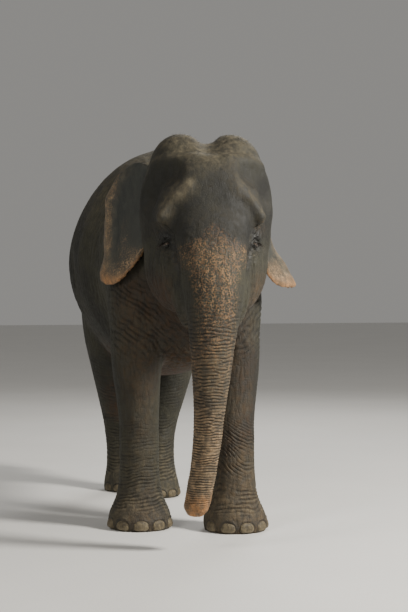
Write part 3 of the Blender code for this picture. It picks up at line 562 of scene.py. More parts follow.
class Tree:
    """A node tree being built. Calling it adds a node: its type, its settings, then its sockets."""

    def __init__(self, tree):
        self.tree = tree

    def __call__(self, kind, settings=None, sockets=None, out=0):
        node = self.tree.nodes.new(kind)
        for name, value in (settings or {}).items():
            setattr(node, name, value)
        self.feed(node, sockets or {})
        return Wire(self, node.outputs[out] if len(node.outputs) else None)

    def feed(self, node, sockets):
        """Links each wire to its socket, and sets the other sockets to their values."""
        for key, value in sockets.items():
            if isinstance(value, Wire):
                self.tree.links.new(value.socket, node.inputs[key])
            else:
                node.inputs[key].default_value = value

    def scaled(self, place, stretch):
        """The place with each axis multiplied."""
        return self("ShaderNodeVectorMath", {"operation": "MULTIPLY"}, {0: place, 1: stretch})

    def noise(self, place, stretch, detail=2.0, roughness=0.5):
        """Soft noise about 0.5, with so many grains a metre along each axis."""
        sockets = {"Scale": 1.0, "Detail": detail, "Roughness": roughness}
        return self("ShaderNodeTexNoise", None, {"Vector": self.scaled(place, stretch), **sockets})

    def cells(self, place, stretch, feature="F1"):
        """Distance to the middle, or to the edge, of the nearest of so many cells a metre."""
        sockets = {"Vector": self.scaled(place, stretch), "Scale": 1.0}
        return self("ShaderNodeTexVoronoi", {"feature": feature}, sockets, out="Distance")

    def step(self, value, low, high, start=0.0, end=1.0):
        """A smooth step from start, at low, to end, at high."""
        return self("ShaderNodeMapRange", {"interpolation_type": "SMOOTHSTEP"},
                    {0: value, 1: low, 2: high, 3: start, 4: end})

    def mix(self, share, first, second):
        """Two colours mixed."""
        return self("ShaderNodeMix", {"data_type": "RGBA"}, {0: share, 6: first, 7: second}, out=2)

    def shade(self, colour, factor):
        """A colour made darker or lighter by a factor."""
        return self("ShaderNodeVectorMath", {"operation": "SCALE"}, {0: colour, "Scale": factor})

    def bumped(self, height):
        """The normal of a surface with this height in metres."""
        sockets = {"Height": height, "Distance": 1.0, "Strength": 1.0}
        return self("ShaderNodeBump", None, sockets, out="Normal")

    def summed(self, first, second):
        """Two vectors added."""
        return self("ShaderNodeVectorMath", {"operation": "ADD"}, {0: first, 1: second})

    def given(self, name):
        """An input of the node group."""
        return self("NodeGroupInput", out=name)

    def field(self, name, kind="FLOAT"):
        """A named attribute of the geometry."""
        return self("GeometryNodeInputNamedAttribute", {"data_type": kind}, {"Name": name})

    def deliver(self, geometry):
        """Ends a node group: instances made real, and the given material set."""
        real = self("GeometryNodeRealizeInstances", None, {"Geometry": geometry})
        wired = {"Geometry": real, "Material": self.given("Material")}
        self("NodeGroupOutput", None, {"Geometry": self("GeometryNodeSetMaterial", None, wired)})
        return self.tree


def geometry_tree(name, inputs):
    """A tree of geometry nodes with a geometry in and out, the named inputs and a material."""
    group = bpy.data.node_groups.new(name, "GeometryNodeTree")
    for label, kind in (("Geometry", "Geometry"), *inputs.items(), ("Material", "Material")):
        group.interface.new_socket(label, in_out="INPUT", socket_type="NodeSocket" + kind)
    group.interface.new_socket("Geometry", in_out="OUTPUT", socket_type="NodeSocketGeometry")
    return Tree(group)


def creases(tree, place, mark):
    """Depths from 0 to 1 of the trunk's rings, the folds of legs and throat, and long and cross creases."""
    wobble = tree.noise(place, (9.0, 9.0, 7.0), 3.0) - 0.5
    turn = mark("ring_turn")
    strength = tree.step(tree.noise(place, (13.0, 13.0, 34.0)), 0.32, 0.56, 0.30, 1.0)
    first = tree.step((turn + wobble * 2.7).math("PINGPONG", 0.5), 0.0, 0.34, 1.0, 0.0)
    second = tree.step((turn - wobble * 2.4 + 0.5).math("PINGPONG", 0.5), 0.0, 0.30, 1.0, 0.0)
    share = tree.step(tree.noise(place, (10.0, 10.0, 15.0)), 0.44, 0.56)
    rings = (first * share + second * (1 - share)) * strength * mark("rings")
    bend = tree.noise(place, (6.0, 6.0, 5.0)) - 0.5
    turn = mark("fold_turn") + bend * 3.6
    strength = tree.step(tree.noise(place, (7.0, 7.0, 14.0)), 0.34, 0.60, 0.15, 1.0)
    folds = tree.step(turn.math("PINGPONG", 0.5), 0.0, 0.36, 1.0, 0.0) * strength * mark("folded")
    along = tree.noise(place, (30.0, 30.0, 6.0), 2.0)
    streaks = tree.step(abs(along - 0.5), 0.0, 0.07, 1.0, 0.0) * mark("creased")
    cross = tree.noise(place, (9.0, 9.0, 38.0), 2.0)
    crossing = tree.step(abs(cross - 0.5), 0.0, 0.06, 1.0, 0.0) * mark("creased")
    return rings, folds, streaks, crossing


# ---- meshes ------------------------------------------------------------------------------------------
def shown(name, data):
    """A new object with this data, in the scene."""
    obj = bpy.data.objects.new(name, data)
    bpy.context.scene.collection.objects.link(obj)
    return obj


def finish_mesh(bm, name):
    """A new object with the mesh, its faces turned outwards."""
    bmesh.ops.recalc_face_normals(bm, faces=bm.faces)
    mesh = bpy.data.meshes.new(name)
    bm.to_mesh(mesh)
    bm.free()
    return shown(name, mesh)


def with_modifiers(obj, *modifiers):
    """The object remade with modifiers applied: each is a kind and its settings."""
    for kind, settings in modifiers:
        modifier = obj.modifiers.new(kind.lower(), kind)
        for key, value in settings.items():
            setattr(modifier, key, value)
    graph = bpy.context.evaluated_depsgraph_get()
    mesh = bpy.data.meshes.new_from_object(obj.evaluated_get(graph), depsgraph=graph)
    name = obj.name
    bpy.data.objects.remove(obj)
    mesh.name = name
    return shown(name, mesh)


def joined(name, objects):
    """One object holding the meshes of several."""
    bm = bmesh.new()
    for obj in objects:
        bm.from_mesh(obj.data)
        bpy.data.objects.remove(obj)
    return finish_mesh(bm, name)


def read(mesh, what="co"):
    """The points of a mesh, or its normals."""
    values = np.empty(len(mesh.vertices) * 3)
    mesh.vertices.foreach_get(what, values)
    return values.reshape(-1, 3)


def write(mesh, points):
    """Moves the points of a mesh."""
    mesh.vertices.foreach_set("co", points.ravel())
    mesh.update()


def smooth_step(value, low, high):
    """From 0, at low, to 1, at high; low may be the greater."""
    t = np.clip((value - low) / (high - low), 0, 1)
    return t * t * (3 - 2 * t)


def bump(distance, width):
    """1 at distance 0, easing to 0 at the width on either side."""
    return (1 - np.clip(np.abs(distance) / width, 0, 1) ** 2) ** 2


def refined(obj, chosen):
    """The object with the faces divided that the test picks out, by their centres."""
    bm = bmesh.new()
    bm.from_mesh(obj.data)
    centres = np.array([face.calc_center_median() for face in bm.faces])
    picked = chosen(centres)
    edges = {edge for face, pick in zip(bm.faces, picked) if pick for edge in face.edges}
    bmesh.ops.subdivide_edges(bm, edges=list(edges), cuts=1, use_grid_fill=True, smooth=0.35)
    bmesh.ops.triangulate(bm, faces=[face for face in bm.faces if len(face.verts) > 4])
    bm.to_mesh(obj.data)
    bm.free()
    return obj


# ---- the skin's shape --------------------------------------------------------------------------------
def make_clay():
    """The body without ears or tail, in the frame that its forms are given in."""
    bm = bmesh.new()
    torso_forms(bm)
    neck_forms(bm)
    for name, side in SIDES.items():
        leg_forms(bm, FORE_SECTIONS, side, FOOT_PLACES["fore_" + name], SHOULDER)
        leg_forms(bm, HIND_SECTIONS, side, FOOT_PLACES["hind_" + name], HIP)
    head_starts = len(bm.verts)
    head_forms(bm)
    trunk_forms(bm)
    bmesh.ops.transform(bm, matrix=head_place(), verts=list(bm.verts)[head_starts:])
    clay = with_modifiers(
        finish_mesh(bm, "clay"),
        ("REMESH", {"mode": "VOXEL", "voxel_size": CLAY_CELL}),
        ("SMOOTH", {"factor": 0.5, "iterations": 12}),
    )
    points = read(clay.data)
    normals = read(clay.data, "normal")
    lift = np.zeros(len(points))
    for route, radius, height in all_strokes():
        lift += height * bump(distance_to_route(points, route), radius)
    write(clay.data, points + normals * lift[:, None])
    return with_modifiers(clay, ("SMOOTH", {"iterations": 3}), ("SUBSURF", {"levels": 1}))


def make_ear(name, side):
    """A sheet fanned out behind its root line, with a rolled upper rim and a lobe that curls outwards."""
    spread = EAR_SPREAD[name]
    flare = EAR_FLARE[name]
    fan = spline(EAR_TOP_ROWS + EAR_LOBE_ROWS[name], EAR_ROWS)
    out = Vector((math.sin(spread), math.cos(spread), 0))
    away = Vector((math.cos(spread), -math.sin(spread), 0))
    sheet = []
    for share, degrees, reach in fan:
        root = EAR_TOP.lerp(EAR_BOTTOM, share)
        angle = math.radians(degrees)
        ray = out * math.cos(angle) + Vector((0, 0, math.sin(angle)))
        droop = max(0.0, -math.sin(angle)) ** 1.6
        roll = max(0.0, math.sin(angle))
        fold = smooth_step(share, 0.18, 0.36) * smooth_step(share, 1.0, 0.8)
        wave = math.sin(9.0 * share)
        row = []
        for column in range(-EAR_INNER_COLUMNS, EAR_COLUMNS + 1):
            u = column / EAR_COLUMNS
            free = max(0.0, u)
            spread_out = (reach * free / EAR_REACH) ** 2
            lift = 0.035 * math.sin(math.pi * min(free, 1)) + (flare * droop + 0.05 * roll) * spread_out
            lift += EAR_RIPPLE * math.sin(17.0 * share + 1.5) * smooth_step(free, 0.35, 1.0)
            lift += 0.5 * EAR_RIPPLE * math.sin(41.0 * share) * smooth_step(free, 0.6, 1.0)
            lift += EAR_FOLD * fold * (bump(free - 0.86, 0.12) - bump(free - 0.67 - 0.04 * wave, 0.11))
            lift += 0.2 * EAR_FOLD * math.sin(60.0 * share + 7.0 * free) * smooth_step(free, 0.2, 0.8)
            curl = smooth_step(free, 0.86, 1.0) * smooth_step(math.degrees(angle), -25, 25)
            lift += EAR_CURL * curl
            thick = EAR_ROOT_THICK + (EAR_RIM_THICK - EAR_ROOT_THICK) * min(1.0, free * 1.5)
            thick += EAR_CURL * 0.5 * curl
            thick *= math.sqrt(max(0.08, 1 - free**14))
            outwards = ray * (reach * u) if u > 0 else away * (EAR_ROOT_DEPTH * u)
            row.append((root + outwards + away * lift, thick))
        sheet.append(row)
    place = head_place()
    flip = Vector((side, 1.0, 1.0))
    bm = bmesh.new()
    front, back = [[[bm.verts.new(place @ ((p + away * thick * face) * flip)) for p, thick in row]
                    for row in sheet] for face in (0.5, -0.5)]
    last, end = len(sheet) - 1, len(sheet[0]) - 1
    for skin in (front, back):
        for i in range(last):
            for j in range(end):
                bm.faces.new((skin[i][j], skin[i][j + 1], skin[i + 1][j + 1], skin[i + 1][j]))
    border = ([(0, j) for j in range(end + 1)] + [(i, end) for i in range(1, last + 1)]
              + [(last, j) for j in range(end - 1, -1, -1)] + [(i, 0) for i in range(last - 1, 0, -1)])
    for (a, b), (c, d) in zip(border, border[1:] + border[:1]):
        bm.faces.new((front[a][b], front[c][d], back[c][d], back[a][b]))
    return finish_mesh(bm, "ear")


def make_tail():
    """The tail down to where its tuft of hair ends, without the hair."""
    # x, y, z, half side, half depth
    sections = [
        (0.000, 1.14, 1.82, 0.060, 0.060), (0.000, 1.27, 1.76, 0.056, 0.056),
        (0.000, 1.350, 1.61, 0.044, 0.044), (0.004, 1.390, 1.40, 0.034, 0.034),
        (0.012, 1.390, 1.16, 0.026, 0.026), (0.020, 1.375, TUFT_TOP, 0.019, 0.022),
        (0.023, 1.366, 0.80, 0.016, 0.022), (0.026, 1.356, 0.70, 0.009, 0.012),
    ]
    stations = [(x, y, z, half, deep, deep, 1.0) for x, y, z, half, deep in sections]
    bm = bmesh.new()
    loft(bm, stations, rings=90, segments=20)
    return finish_mesh(bm, "tail")


def node_centre(name):
    """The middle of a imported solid's box."""
    low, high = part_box(name)
    return (np.array(low) + np.array(high)) / 2


def body_offset():
    """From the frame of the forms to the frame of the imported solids, found by the left eye."""
    return Vector(node_centre("eye_left")) - head_place() @ EYE_CENTRE


def merged_shape():
    """Body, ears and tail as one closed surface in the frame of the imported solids."""
    clay = make_clay()
    ears = [make_ear(name, side) for name, side in SIDES.items()]
    whole = joined("skin", [clay, *ears, make_tail()])
    whole.data.transform(Matrix.Translation(body_offset()))
    return with_modifiers(
        whole,
        ("REMESH", {"mode": "VOXEL", "voxel_size": SKIN_CELL}),
        ("SMOOTH", {"factor": 0.5, "iterations": 4}),
    )


# ---- folds, lids and openings ------------------------------------------------------------------------
def head_frame():
    """From the head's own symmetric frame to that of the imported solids."""
    return Matrix.Translation(body_offset()) @ head_place()


def into(matrix, points):
    """Points carried by a matrix."""
    m = np.array(matrix)
    return points @ m[:3, :3].T + m[:3, 3]


def eye_frames(points, normals):
    """For each eye: its centre, and the directions along the slit to the trunk, up the lids, and outwards."""
    ahead = head_frame().to_3x3() @ Vector((0, -1, 0))
    for name, side in SIDES.items():
        centre = node_centre("eye_" + name)
        near = np.linalg.norm(points - centre, axis=1) < 0.05
        out = Vector(normals[near].mean(axis=0)).normalized()
        along = (ahead - out * ahead.dot(out)).normalized()
        up = out.cross(along) * -side
        tilt = Matrix.Rotation(-side * SLIT_SLANT, 3, out)
        yield centre, np.array(tilt @ along), np.array(tilt @ up), np.array(out)


def open_lids(points, normals):
    """Shapes the lids over each ball, opens the slit between them and folds the skin round it."""
    slit = [(SLIT_HALF * math.cos(t), (SLIT_ABOVE if math.sin(t) > 0 else SLIT_BELOW) * math.sin(t)
             * abs(math.sin(t)) ** (SLIT_POINTED - 1)) for t in np.linspace(0, 2 * math.pi, 61)]
    almond = np.array([0.70, 1.25])     # the folds round the slit are rounder than it
    for centre, along, up, out in eye_frames(points, normals):
        near = np.flatnonzero(np.linalg.norm(points - centre, axis=1) < 0.11)
        apart = points[near] - centre
        a, b, h = apart @ along, apart @ up, apart @ out
        face = h > -0.02
        near, a, b, h = near[face], a[face], b[face], h[face]
        plane = np.column_stack([a, b])
        away = distance_to_route(plane, slit)
        edge = np.sqrt(np.clip(1 - (a / SLIT_HALF) ** 2, 0, 1)) ** SLIT_POINTED
        inside = (b < SLIT_ABOVE * edge) & (b > -SLIT_BELOW * edge) & (np.abs(a) < SLIT_HALF)
        away = np.where(inside, -away, away)
        across = a**2 + b**2
        lid = np.sqrt(np.clip((EYE_RADIUS + LID_THICK) ** 2 - across, 4e-6, None))
        ball = np.sqrt(np.clip(EYE_RADIUS**2 - across, 0, None))
        level = h + (lid - h) * (1 - smooth_step(away, 0.008, 0.040))
        ring = distance_to_route(plane * almond, np.array(slit) * almond)
        for at, depth in LID_FOLDS:
            above = (smooth_step(b, -0.012, 0.012) * 0.6 + 0.4) * smooth_step(away, 0.002, 0.006)
            level = level - depth * above * bump(ring - at, 0.0042)
            level = level + 0.5 * depth * above * bump(ring - at - 0.006, 0.005)
        sunk = ball - EYE_SUNK
        level = np.where(inside, sunk + (level - sunk) * (1 - smooth_step(-away, 0.0, 0.0015)), level)
        points[near] += out * (level - h)[:, None]


def nail_places():
    """Name, place and size of each nail, from the inner side outwards."""
    shift = Matrix.Translation(body_offset())
    for kind, (headings, half, ahead, width, height) in NAILS.items():
        for name, side in SIDES.items():
            foot = FOOT_PLACES[f"{kind}_{name}"]
            for number, degrees in enumerate(headings, start=1):
                heading = side * math.radians(degrees + TOE_OUT)
                x = foot[0] + half * math.sin(heading)
                y = foot[1] - ahead * math.cos(heading)
                facing = math.atan2(math.sin(heading) / half, math.cos(heading) / ahead)
                stand = Matrix.Translation((x, y, height / 2 + NAIL_CLEARANCE))
                turn = Matrix.Rotation(facing, 4, "Z") @ Matrix.Rotation(NAIL_LEAN, 4, "X")
                yield f"nail_{kind}_{name}_{number}", shift @ stand @ turn, width, height


def round_nails(points):
    """For each nail: how far each point is from its middle, 1 at its outline, and the point in its frame."""
    for _, place, width, height in nail_places():
        local = into(place.inverted(), points)
        yield np.hypot(local[:, 0] / (width / 2), local[:, 2] / (height / 2)), local


def raise_cuticles(points, normals):
    """A roll of skin round each nail, and a shallow bed behind it."""
    for ring, local in round_nails(points):
        facing = (local[:, 1] < 0.035) & (np.abs(local[:, 1]) < 0.06)
        lift = CUTICLE * np.exp(-(((ring - 1.12) / 0.13) ** 2)) * smooth_step(local[:, 2], -0.03, 0.0)
        bed = -0.007 * bump(ring, 0.95)
        points += normals * ((lift + bed) * facing)[:, None]


def nearest_points(numbered):
    """A tree that finds the nearest of many points, given with their numbers."""
    numbered = list(numbered)
    tree = KDTree(len(numbered))
    for number, point in numbered:
        tree.insert(point, number)
    tree.balance()
    return tree


def traced(route, place, side, tree):
    """A route laid on the surface: placed, divided, and each point moved to the nearest of the surface."""
    route = placed(route, place, side)
    dense = spline(route, 5 * len(route) - 4) if len(route) > 1 else route
    return [tree.find(point)[0] for point in dense]


def sharpen_head(points, normals):
    """Crisper brows, temples, folds and mouth than the broad forms hold, the same on both sides; nostrils."""
    frame_of_head = head_frame()
    tree = nearest_points(enumerate(points))
    lift = np.zeros(len(points))
    for route, radius, height in FINE_STROKES:
        for side in SIDES.values():
            lift += height * bump(distance_to_route(points, traced(route, frame_of_head, side, tree)), radius)
    points += normals * lift[:, None]
    for side in SIDES.values():
        nostril = np.array(frame_of_head @ (NOSTRIL + Vector((side * NOSTRIL_APART, 0, 0))))
        near = bump(np.linalg.norm(points - nostril, axis=1), NOSTRIL_RADIUS)
        points[:, 2] += NOSTRIL_DEPTH * near


# ---- marks on the skin -------------------------------------------------------------------------------
def store(mesh, name, values):
    """Keeps one number for each point of a mesh as a named attribute."""
    if name in mesh.attributes:
        mesh.attributes.remove(mesh.attributes[name])
    attribute = mesh.attributes.new(name, "FLOAT", "POINT")
    attribute.data.foreach_set("value", np.asarray(values, np.float32))


def ear_coordinates(points):
    """How surely each point is on an ear, and its share along the root line and of the way to the rim."""
    on_ear = np.zeros(len(points))
    share = np.zeros(len(points))
    reach = np.zeros(len(points))
    shift = Matrix.Translation(body_offset())
    for name, side in SIDES.items():
        ear = make_ear(name, side)
        sheet = into(shift, read(ear.data))
        bpy.data.objects.remove(ear)
        width = EAR_INNER_COLUMNS + EAR_COLUMNS + 1
        number = np.arange(len(sheet)) % (EAR_ROWS * width)
        row, column = number // width, (number % width - EAR_INNER_COLUMNS) / EAR_COLUMNS
        tree = nearest_points((index, point) for index, point in enumerate(sheet) if column[index] > 0.02)
        low, high = sheet.min(axis=0) - 0.02, sheet.max(axis=0) + 0.02
        for index in np.flatnonzero(((points > low) & (points < high)).all(axis=1)):
            _, found, distance = tree.find(points[index])
            if distance < 0.03:
                on_ear[index] = 1 - smooth_step(distance, 0.012, 0.024)
                share[index] = row[found] / (EAR_ROWS - 1)
                reach[index] = column[found]
    return on_ear, share, reach


def fold_turns(points):
    """Counts the folds of legs, throat and flanks, and says how strong they are from place to place."""
    shift = body_offset()
    level = points[:, 2]
    nearest = np.full(len(points), np.inf)
    turns = np.zeros(len(points))
    strength = np.zeros(len(points))
    for name, (foot_x, foot_y) in FOOT_PLACES.items():
        x = points[:, 0] - foot_x - shift.x
        y = points[:, 1] - foot_y - shift.y
        height = level - 0.06 * x + 0.22 * y - 0.9 * x**2
        reach = smooth_step(level, 0.085, 0.15) * smooth_step(level, 0.78, 0.34)
        if name == "fore_left":
            # the folds of this wrist hang in crescents from its inner side
            hang = smooth_step(level, 0.12, 0.52)
            height = height - hang * 2.4 * np.clip(0.16 - x, 0, 0.30) ** 2
            hang = smooth_step(level, 0.18, 0.28) * smooth_step(level, 0.74, 0.54)
            reach = np.maximum(reach, hang)
        if name.startswith("hind"):
            height = height - 0.30 * y
            reach = np.maximum(reach, 0.55 * smooth_step(level, 1.15, 0.75) * smooth_step(level, 0.2, 0.4))
        away = np.hypot(x, y)
        near = away < nearest
        turns = np.where(near, height / FOLD_SPACING, turns)
        strength = np.where(near, reach, strength)
        nearest = np.minimum(away, nearest)
    throat = smooth_step(level, 0.98, 1.12) * smooth_step(level, 1.62, 1.45)
    throat *= smooth_step(points[:, 1], -0.50 + shift.y, -0.66 + shift.y)
    hanging = (level - 0.8 * np.abs(points[:, 0] - shift.x)) / THROAT_SPACING
    turns = np.where(throat > 0, hanging, turns)
    along = points[:, 1] - shift.y
    flank = 0.6 * smooth_step(level, 1.16, 1.35) * smooth_step(level, 2.20, 1.95)
    flank *= np.maximum(bump(along - 0.42, 0.30), bump(along + 0.24, 0.20))
    turns = np.where(flank > 0, (along + 0.35 * level) / FLANK_SPACING, turns)
    return turns, np.maximum(strength, np.maximum(throat, flank))


def by_height(z, table):
    """A value read from a table of heights and values."""
    heights, values = zip(*table)
    return np.interp(z, heights, values)


def tan_marks(x, y, z, trunk, cheek, on_ear, share, reach, rim):
    """Where the skin has lost its pigment: face, trunk, ears and eyelids."""
    half = by_height(z, PATCH_HALF_WIDTH)
    ahead = smooth_step(y, -1.36, -1.46)
    front = smooth_step(np.abs(x), half * 1.45, half * 0.5) * ahead * (z > 1.1)
    lower = trunk * smooth_step(z, 1.25, 1.10)
    middle = 0.38 * smooth_step(share, 0.32, 0.70) * bump(reach - 0.45, 0.40)
    lobe = on_ear * np.maximum(0.75 * rim, middle)
    lobe = np.maximum(lobe, on_ear * smooth_step(share, 0.62, 0.88) * smooth_step(reach, 0.15, 0.60))
    over_eye = np.sqrt((np.abs(x) - 0.29) ** 2 + (z - 1.80) ** 2)
    lid = bump(over_eye, 0.09) * (y < -1.2) * np.where(x > 0, 0.55, 0.35)
    return np.maximum(front, lower) * by_height(z, PATCH_STRENGTH) + lobe + lid + cheek * 0.12


def damp_and_shade_marks(points):
    """Dark damp skin in the streak below each eye, painted shade in each eye socket, and darker skin round
    each nail.
    """
    damp = np.zeros(len(points))
    for side in SIDES.values():
        streak = distance_to_route(points, placed(TEAR_STREAK, head_frame(), side))
        # painted shade in the eye socket
        socket = distance_to_route(points, placed(EYE_SOCKET_SHADE, head_frame(), side))
        damp = np.maximum(damp, np.maximum(bump(streak, 0.052), bump(socket, 0.088)))
    for ring, local in round_nails(points):
        # darker round the outline of each nail
        damp = np.maximum(damp, 0.75 * bump(ring - 1.0, 0.30) * (np.abs(local[:, 1]) < 0.06))
    return damp


def mark_skin(mesh):
    """Fields that set the skin's creases and colours from place to place."""
    points = read(mesh)
    normals = read(mesh, "normal")
    x, y, z = into(head_frame().inverted(), points).T
    level = points[:, 2]
    trunk = smooth_step(distance_to_route(points, placed(TRUNK_AXIS, head_frame())), 0.30, 0.20)
    on_ear, share, reach = ear_coordinates(points)
    head = smooth_step(y, -0.98, -1.10) * smooth_step(level, 1.05, 1.20) * (1 - on_ear)
    legs = smooth_step(level, 1.10, 0.80) * (1 - trunk)
    rings = trunk * smooth_step(z, 1.72, 1.15) * (0.15 + 0.85 * smooth_step(z, 1.50, 1.20))
    rings *= smooth_step(z, 0.22, 0.30)
    turns, folded = fold_turns(points)
    throat = smooth_step(level, 1.62, 1.45) * smooth_step(y, -0.70, -0.90) * (1 - trunk)
    cheek = head * smooth_step(z, 1.74, 1.60) * smooth_step(np.abs(x), 0.15, 0.22)
    brow = head * smooth_step(z, 1.74, 1.86) * (1 - on_ear)
    creased = 0.70 + 0.30 * np.maximum(throat, cheek)
    creased = creased - 0.40 * brow - 0.45 * on_ear - 0.45 * rings - 0.2 * legs
    top = smooth_step(normals[:, 2], 0.1, 0.9)
    brows = [distance_to_route(points, placed(BROW_HIGHLIGHT_RIDGE, head_frame(), side)) for side in SIDES.values()]
    # Painted highlight along the brow ridges, stronger on her right.
    ridges = bump(np.minimum(*brows), 0.100) * np.where(x > 0, 0.6, 1.0)
    rim = smooth_step(reach, 0.62, 0.88) * smooth_step(share, 0.16, 0.46)
    # Lighter where the surface faces up, on the lower legs and on the ear rims, plus the painted brow
    # highlight.
    dust = 0.6 * top + 0.3 * smooth_step(level, 0.7, 0.05) * (1 - trunk) + 0.65 * ridges + 0.6 * on_ear * rim
    pale = trunk * (0.4 * smooth_step(z, 1.40, 1.0) + 0.95 * smooth_step(z, 0.95, 0.45))
    # Painted bounce light on the downward-facing chest and belly, and half as much on the throat.
    belly_bounce_light = smooth_step(level, 1.20, 0.95) * smooth_step(normals[:, 2], -0.3, -0.8) * (level > 0.5)
    bare_tips = on_ear * smooth_step(share, 0.66, 0.82) * smooth_step(reach, 0.72, 0.95)
    # Painted shade on the forehead, brows and domes, held back along the brow ridges.
    shaded = head * smooth_step(z, 1.62, 1.80) * smooth_step(z, 2.32, 2.04) * smooth_step(y, -1.00, -1.20)
    unbound = {
        "rings": rings,
        "ring_turn": np.log(RING_START + RING_GROWTH * np.clip(z, 0, 2)) / RING_GROWTH,
        "folded": folded * (1 - trunk) * (1 - head) * (1 - on_ear),
        "fold_turn": turns,
        "damp": damp_and_shade_marks(points),
        "ear": on_ear,
    }
    shares = {
        "creased": creased,
        "dust": dust,
        "pale": pale,
        "tan": tan_marks(x, y, z, trunk, cheek, on_ear, share, reach, rim),
        "bare": trunk * smooth_step(z, 0.36, 0.25) + 0.9 * bare_tips,
        "warm": 0.5 * throat + belly_bounce_light,
        "sooty": shaded - 0.8 * ridges,
        "smooth": on_ear + 0.6 * brow,
    }
    for name, values in unbound.items():
        store(mesh, name, values)
    for name, values in shares.items():
        store(mesh, name, np.clip(values, 0, 1))


# ---- the relief of the hide --------------------------------------------------------------------------
def relief_tree():
    """Geometry nodes that press the creases into the skin."""
    depths = ("Ring depth", "Fold depth", "Crease depth", "Swell")
    tree = geometry_tree("hide relief", dict.fromkeys(depths, "Float"))
    place = tree("GeometryNodeInputPosition")
    rings, folds, streaks, crossing = creases(tree, place, tree.field)
    lumps = tree.noise(place, (5.0, 5.0, 5.0), 3.0) - 0.5
    ring_depth, fold_depth, crease_depth, swell = (tree.given(name) for name in depths)
    height = lumps * swell - rings * ring_depth - folds * fold_depth
    height = height - streaks * crease_depth - crossing * crease_depth * 0.6
    offset = tree.shade(tree("GeometryNodeInputNormal"), height)
    geometry = tree.given("Geometry")
    return tree.deliver(tree("GeometryNodeSetPosition", None, {"Geometry": geometry, "Offset": offset}))


def with_nodes(obj, group, settings):
    """The object remade by geometry nodes, with the inputs given by name."""
    modifier = obj.modifiers.new(group.name, "NODES")
    modifier.node_group = group
    for item in group.interface.items_tree:
        if item.item_type == "SOCKET" and item.in_out == "INPUT" and item.name in settings:
            modifier[item.identifier] = settings[item.name]
    return with_modifiers(obj)


def stand_flat(obj):
    """Cuts the moulded legs at the floor and closes them with flat soles."""
    bm = bmesh.new()
    bm.from_mesh(obj.data)
    everything = list(bm.verts) + list(bm.edges) + list(bm.faces)
    floor = {"plane_co": (0, 0, 0), "plane_no": (0, 0, 1)}
    cut = bmesh.ops.bisect_plane(bm, geom=everything, clear_inner=True, **floor)
    rim = [piece for piece in cut["geom_cut"] if isinstance(piece, bmesh.types.BMEdge)]
    bmesh.ops.holes_fill(bm, edges=rim, sides=0)
    bmesh.ops.triangulate(bm, faces=bm.faces)
    bmesh.ops.recalc_face_normals(bm, faces=bm.faces)
    bm.to_mesh(obj.data)
    bm.free()
    return obj


def make_skin(material, settings):
    """The whole skin: merged forms, fine strokes, lids, cuticles, creases and flat soles."""
    skin = merged_shape()
    frame_of_head = head_frame()
    trunk = placed([(-0.106, -1.462, 0.19), (-0.028, -1.560, 0.80), (0, -1.53, 1.36)], frame_of_head)
    eyes = [node_centre("eye_" + name) for name in SIDES]

    def near_eyes(centres, reach):
        return np.min([np.linalg.norm(centres - eye, axis=1) for eye in eyes], axis=0) < reach

    def near_trunk(centres):
        return distance_to_route(centres, trunk) < FINE_REACH["trunk"]

    skin = refined(skin, lambda centres: near_eyes(centres, FINE_REACH["eye"]) | near_trunk(centres))
    skin = refined(skin, lambda centres: near_eyes(centres, FINE_REACH["lids"]))
    points, normals = read(skin.data), read(skin.data, "normal")
    sharpen_head(points, normals)
    open_lids(points, normals)
    raise_cuticles(points, normals)
    write(skin.data, points)
    mark_skin(skin.data)
    skin = with_nodes(skin, relief_tree(), {**settings, "Material": material})
    skin = stand_flat(skin)
    skin = with_modifiers(skin, ("DECIMATE", {"ratio": SKIN_TRIANGLES / len(skin.data.polygons)}))
    mark_skin(skin.data)
    skin.data.shade_smooth()
    return skin


# ---- materials ---------------------------------------------------------------------------------------
def new_material(name, **constants):
    """A material, its tree and shader, the place on the piece, and a reader of its colour fields."""
    material = bpy.data.materials.new(name)
    material.use_nodes = True
    tree = Tree(material.node_tree)
    shader = material.node_tree.nodes["Principled BSDF"]
    tree.feed(shader, constants)

    def mark(field):
        return tree("ShaderNodeAttribute", {"attribute_name": field}, out="Fac")

    place = tree("ShaderNodeTexCoord", out="Object")
    return material, tree, shader, place, mark


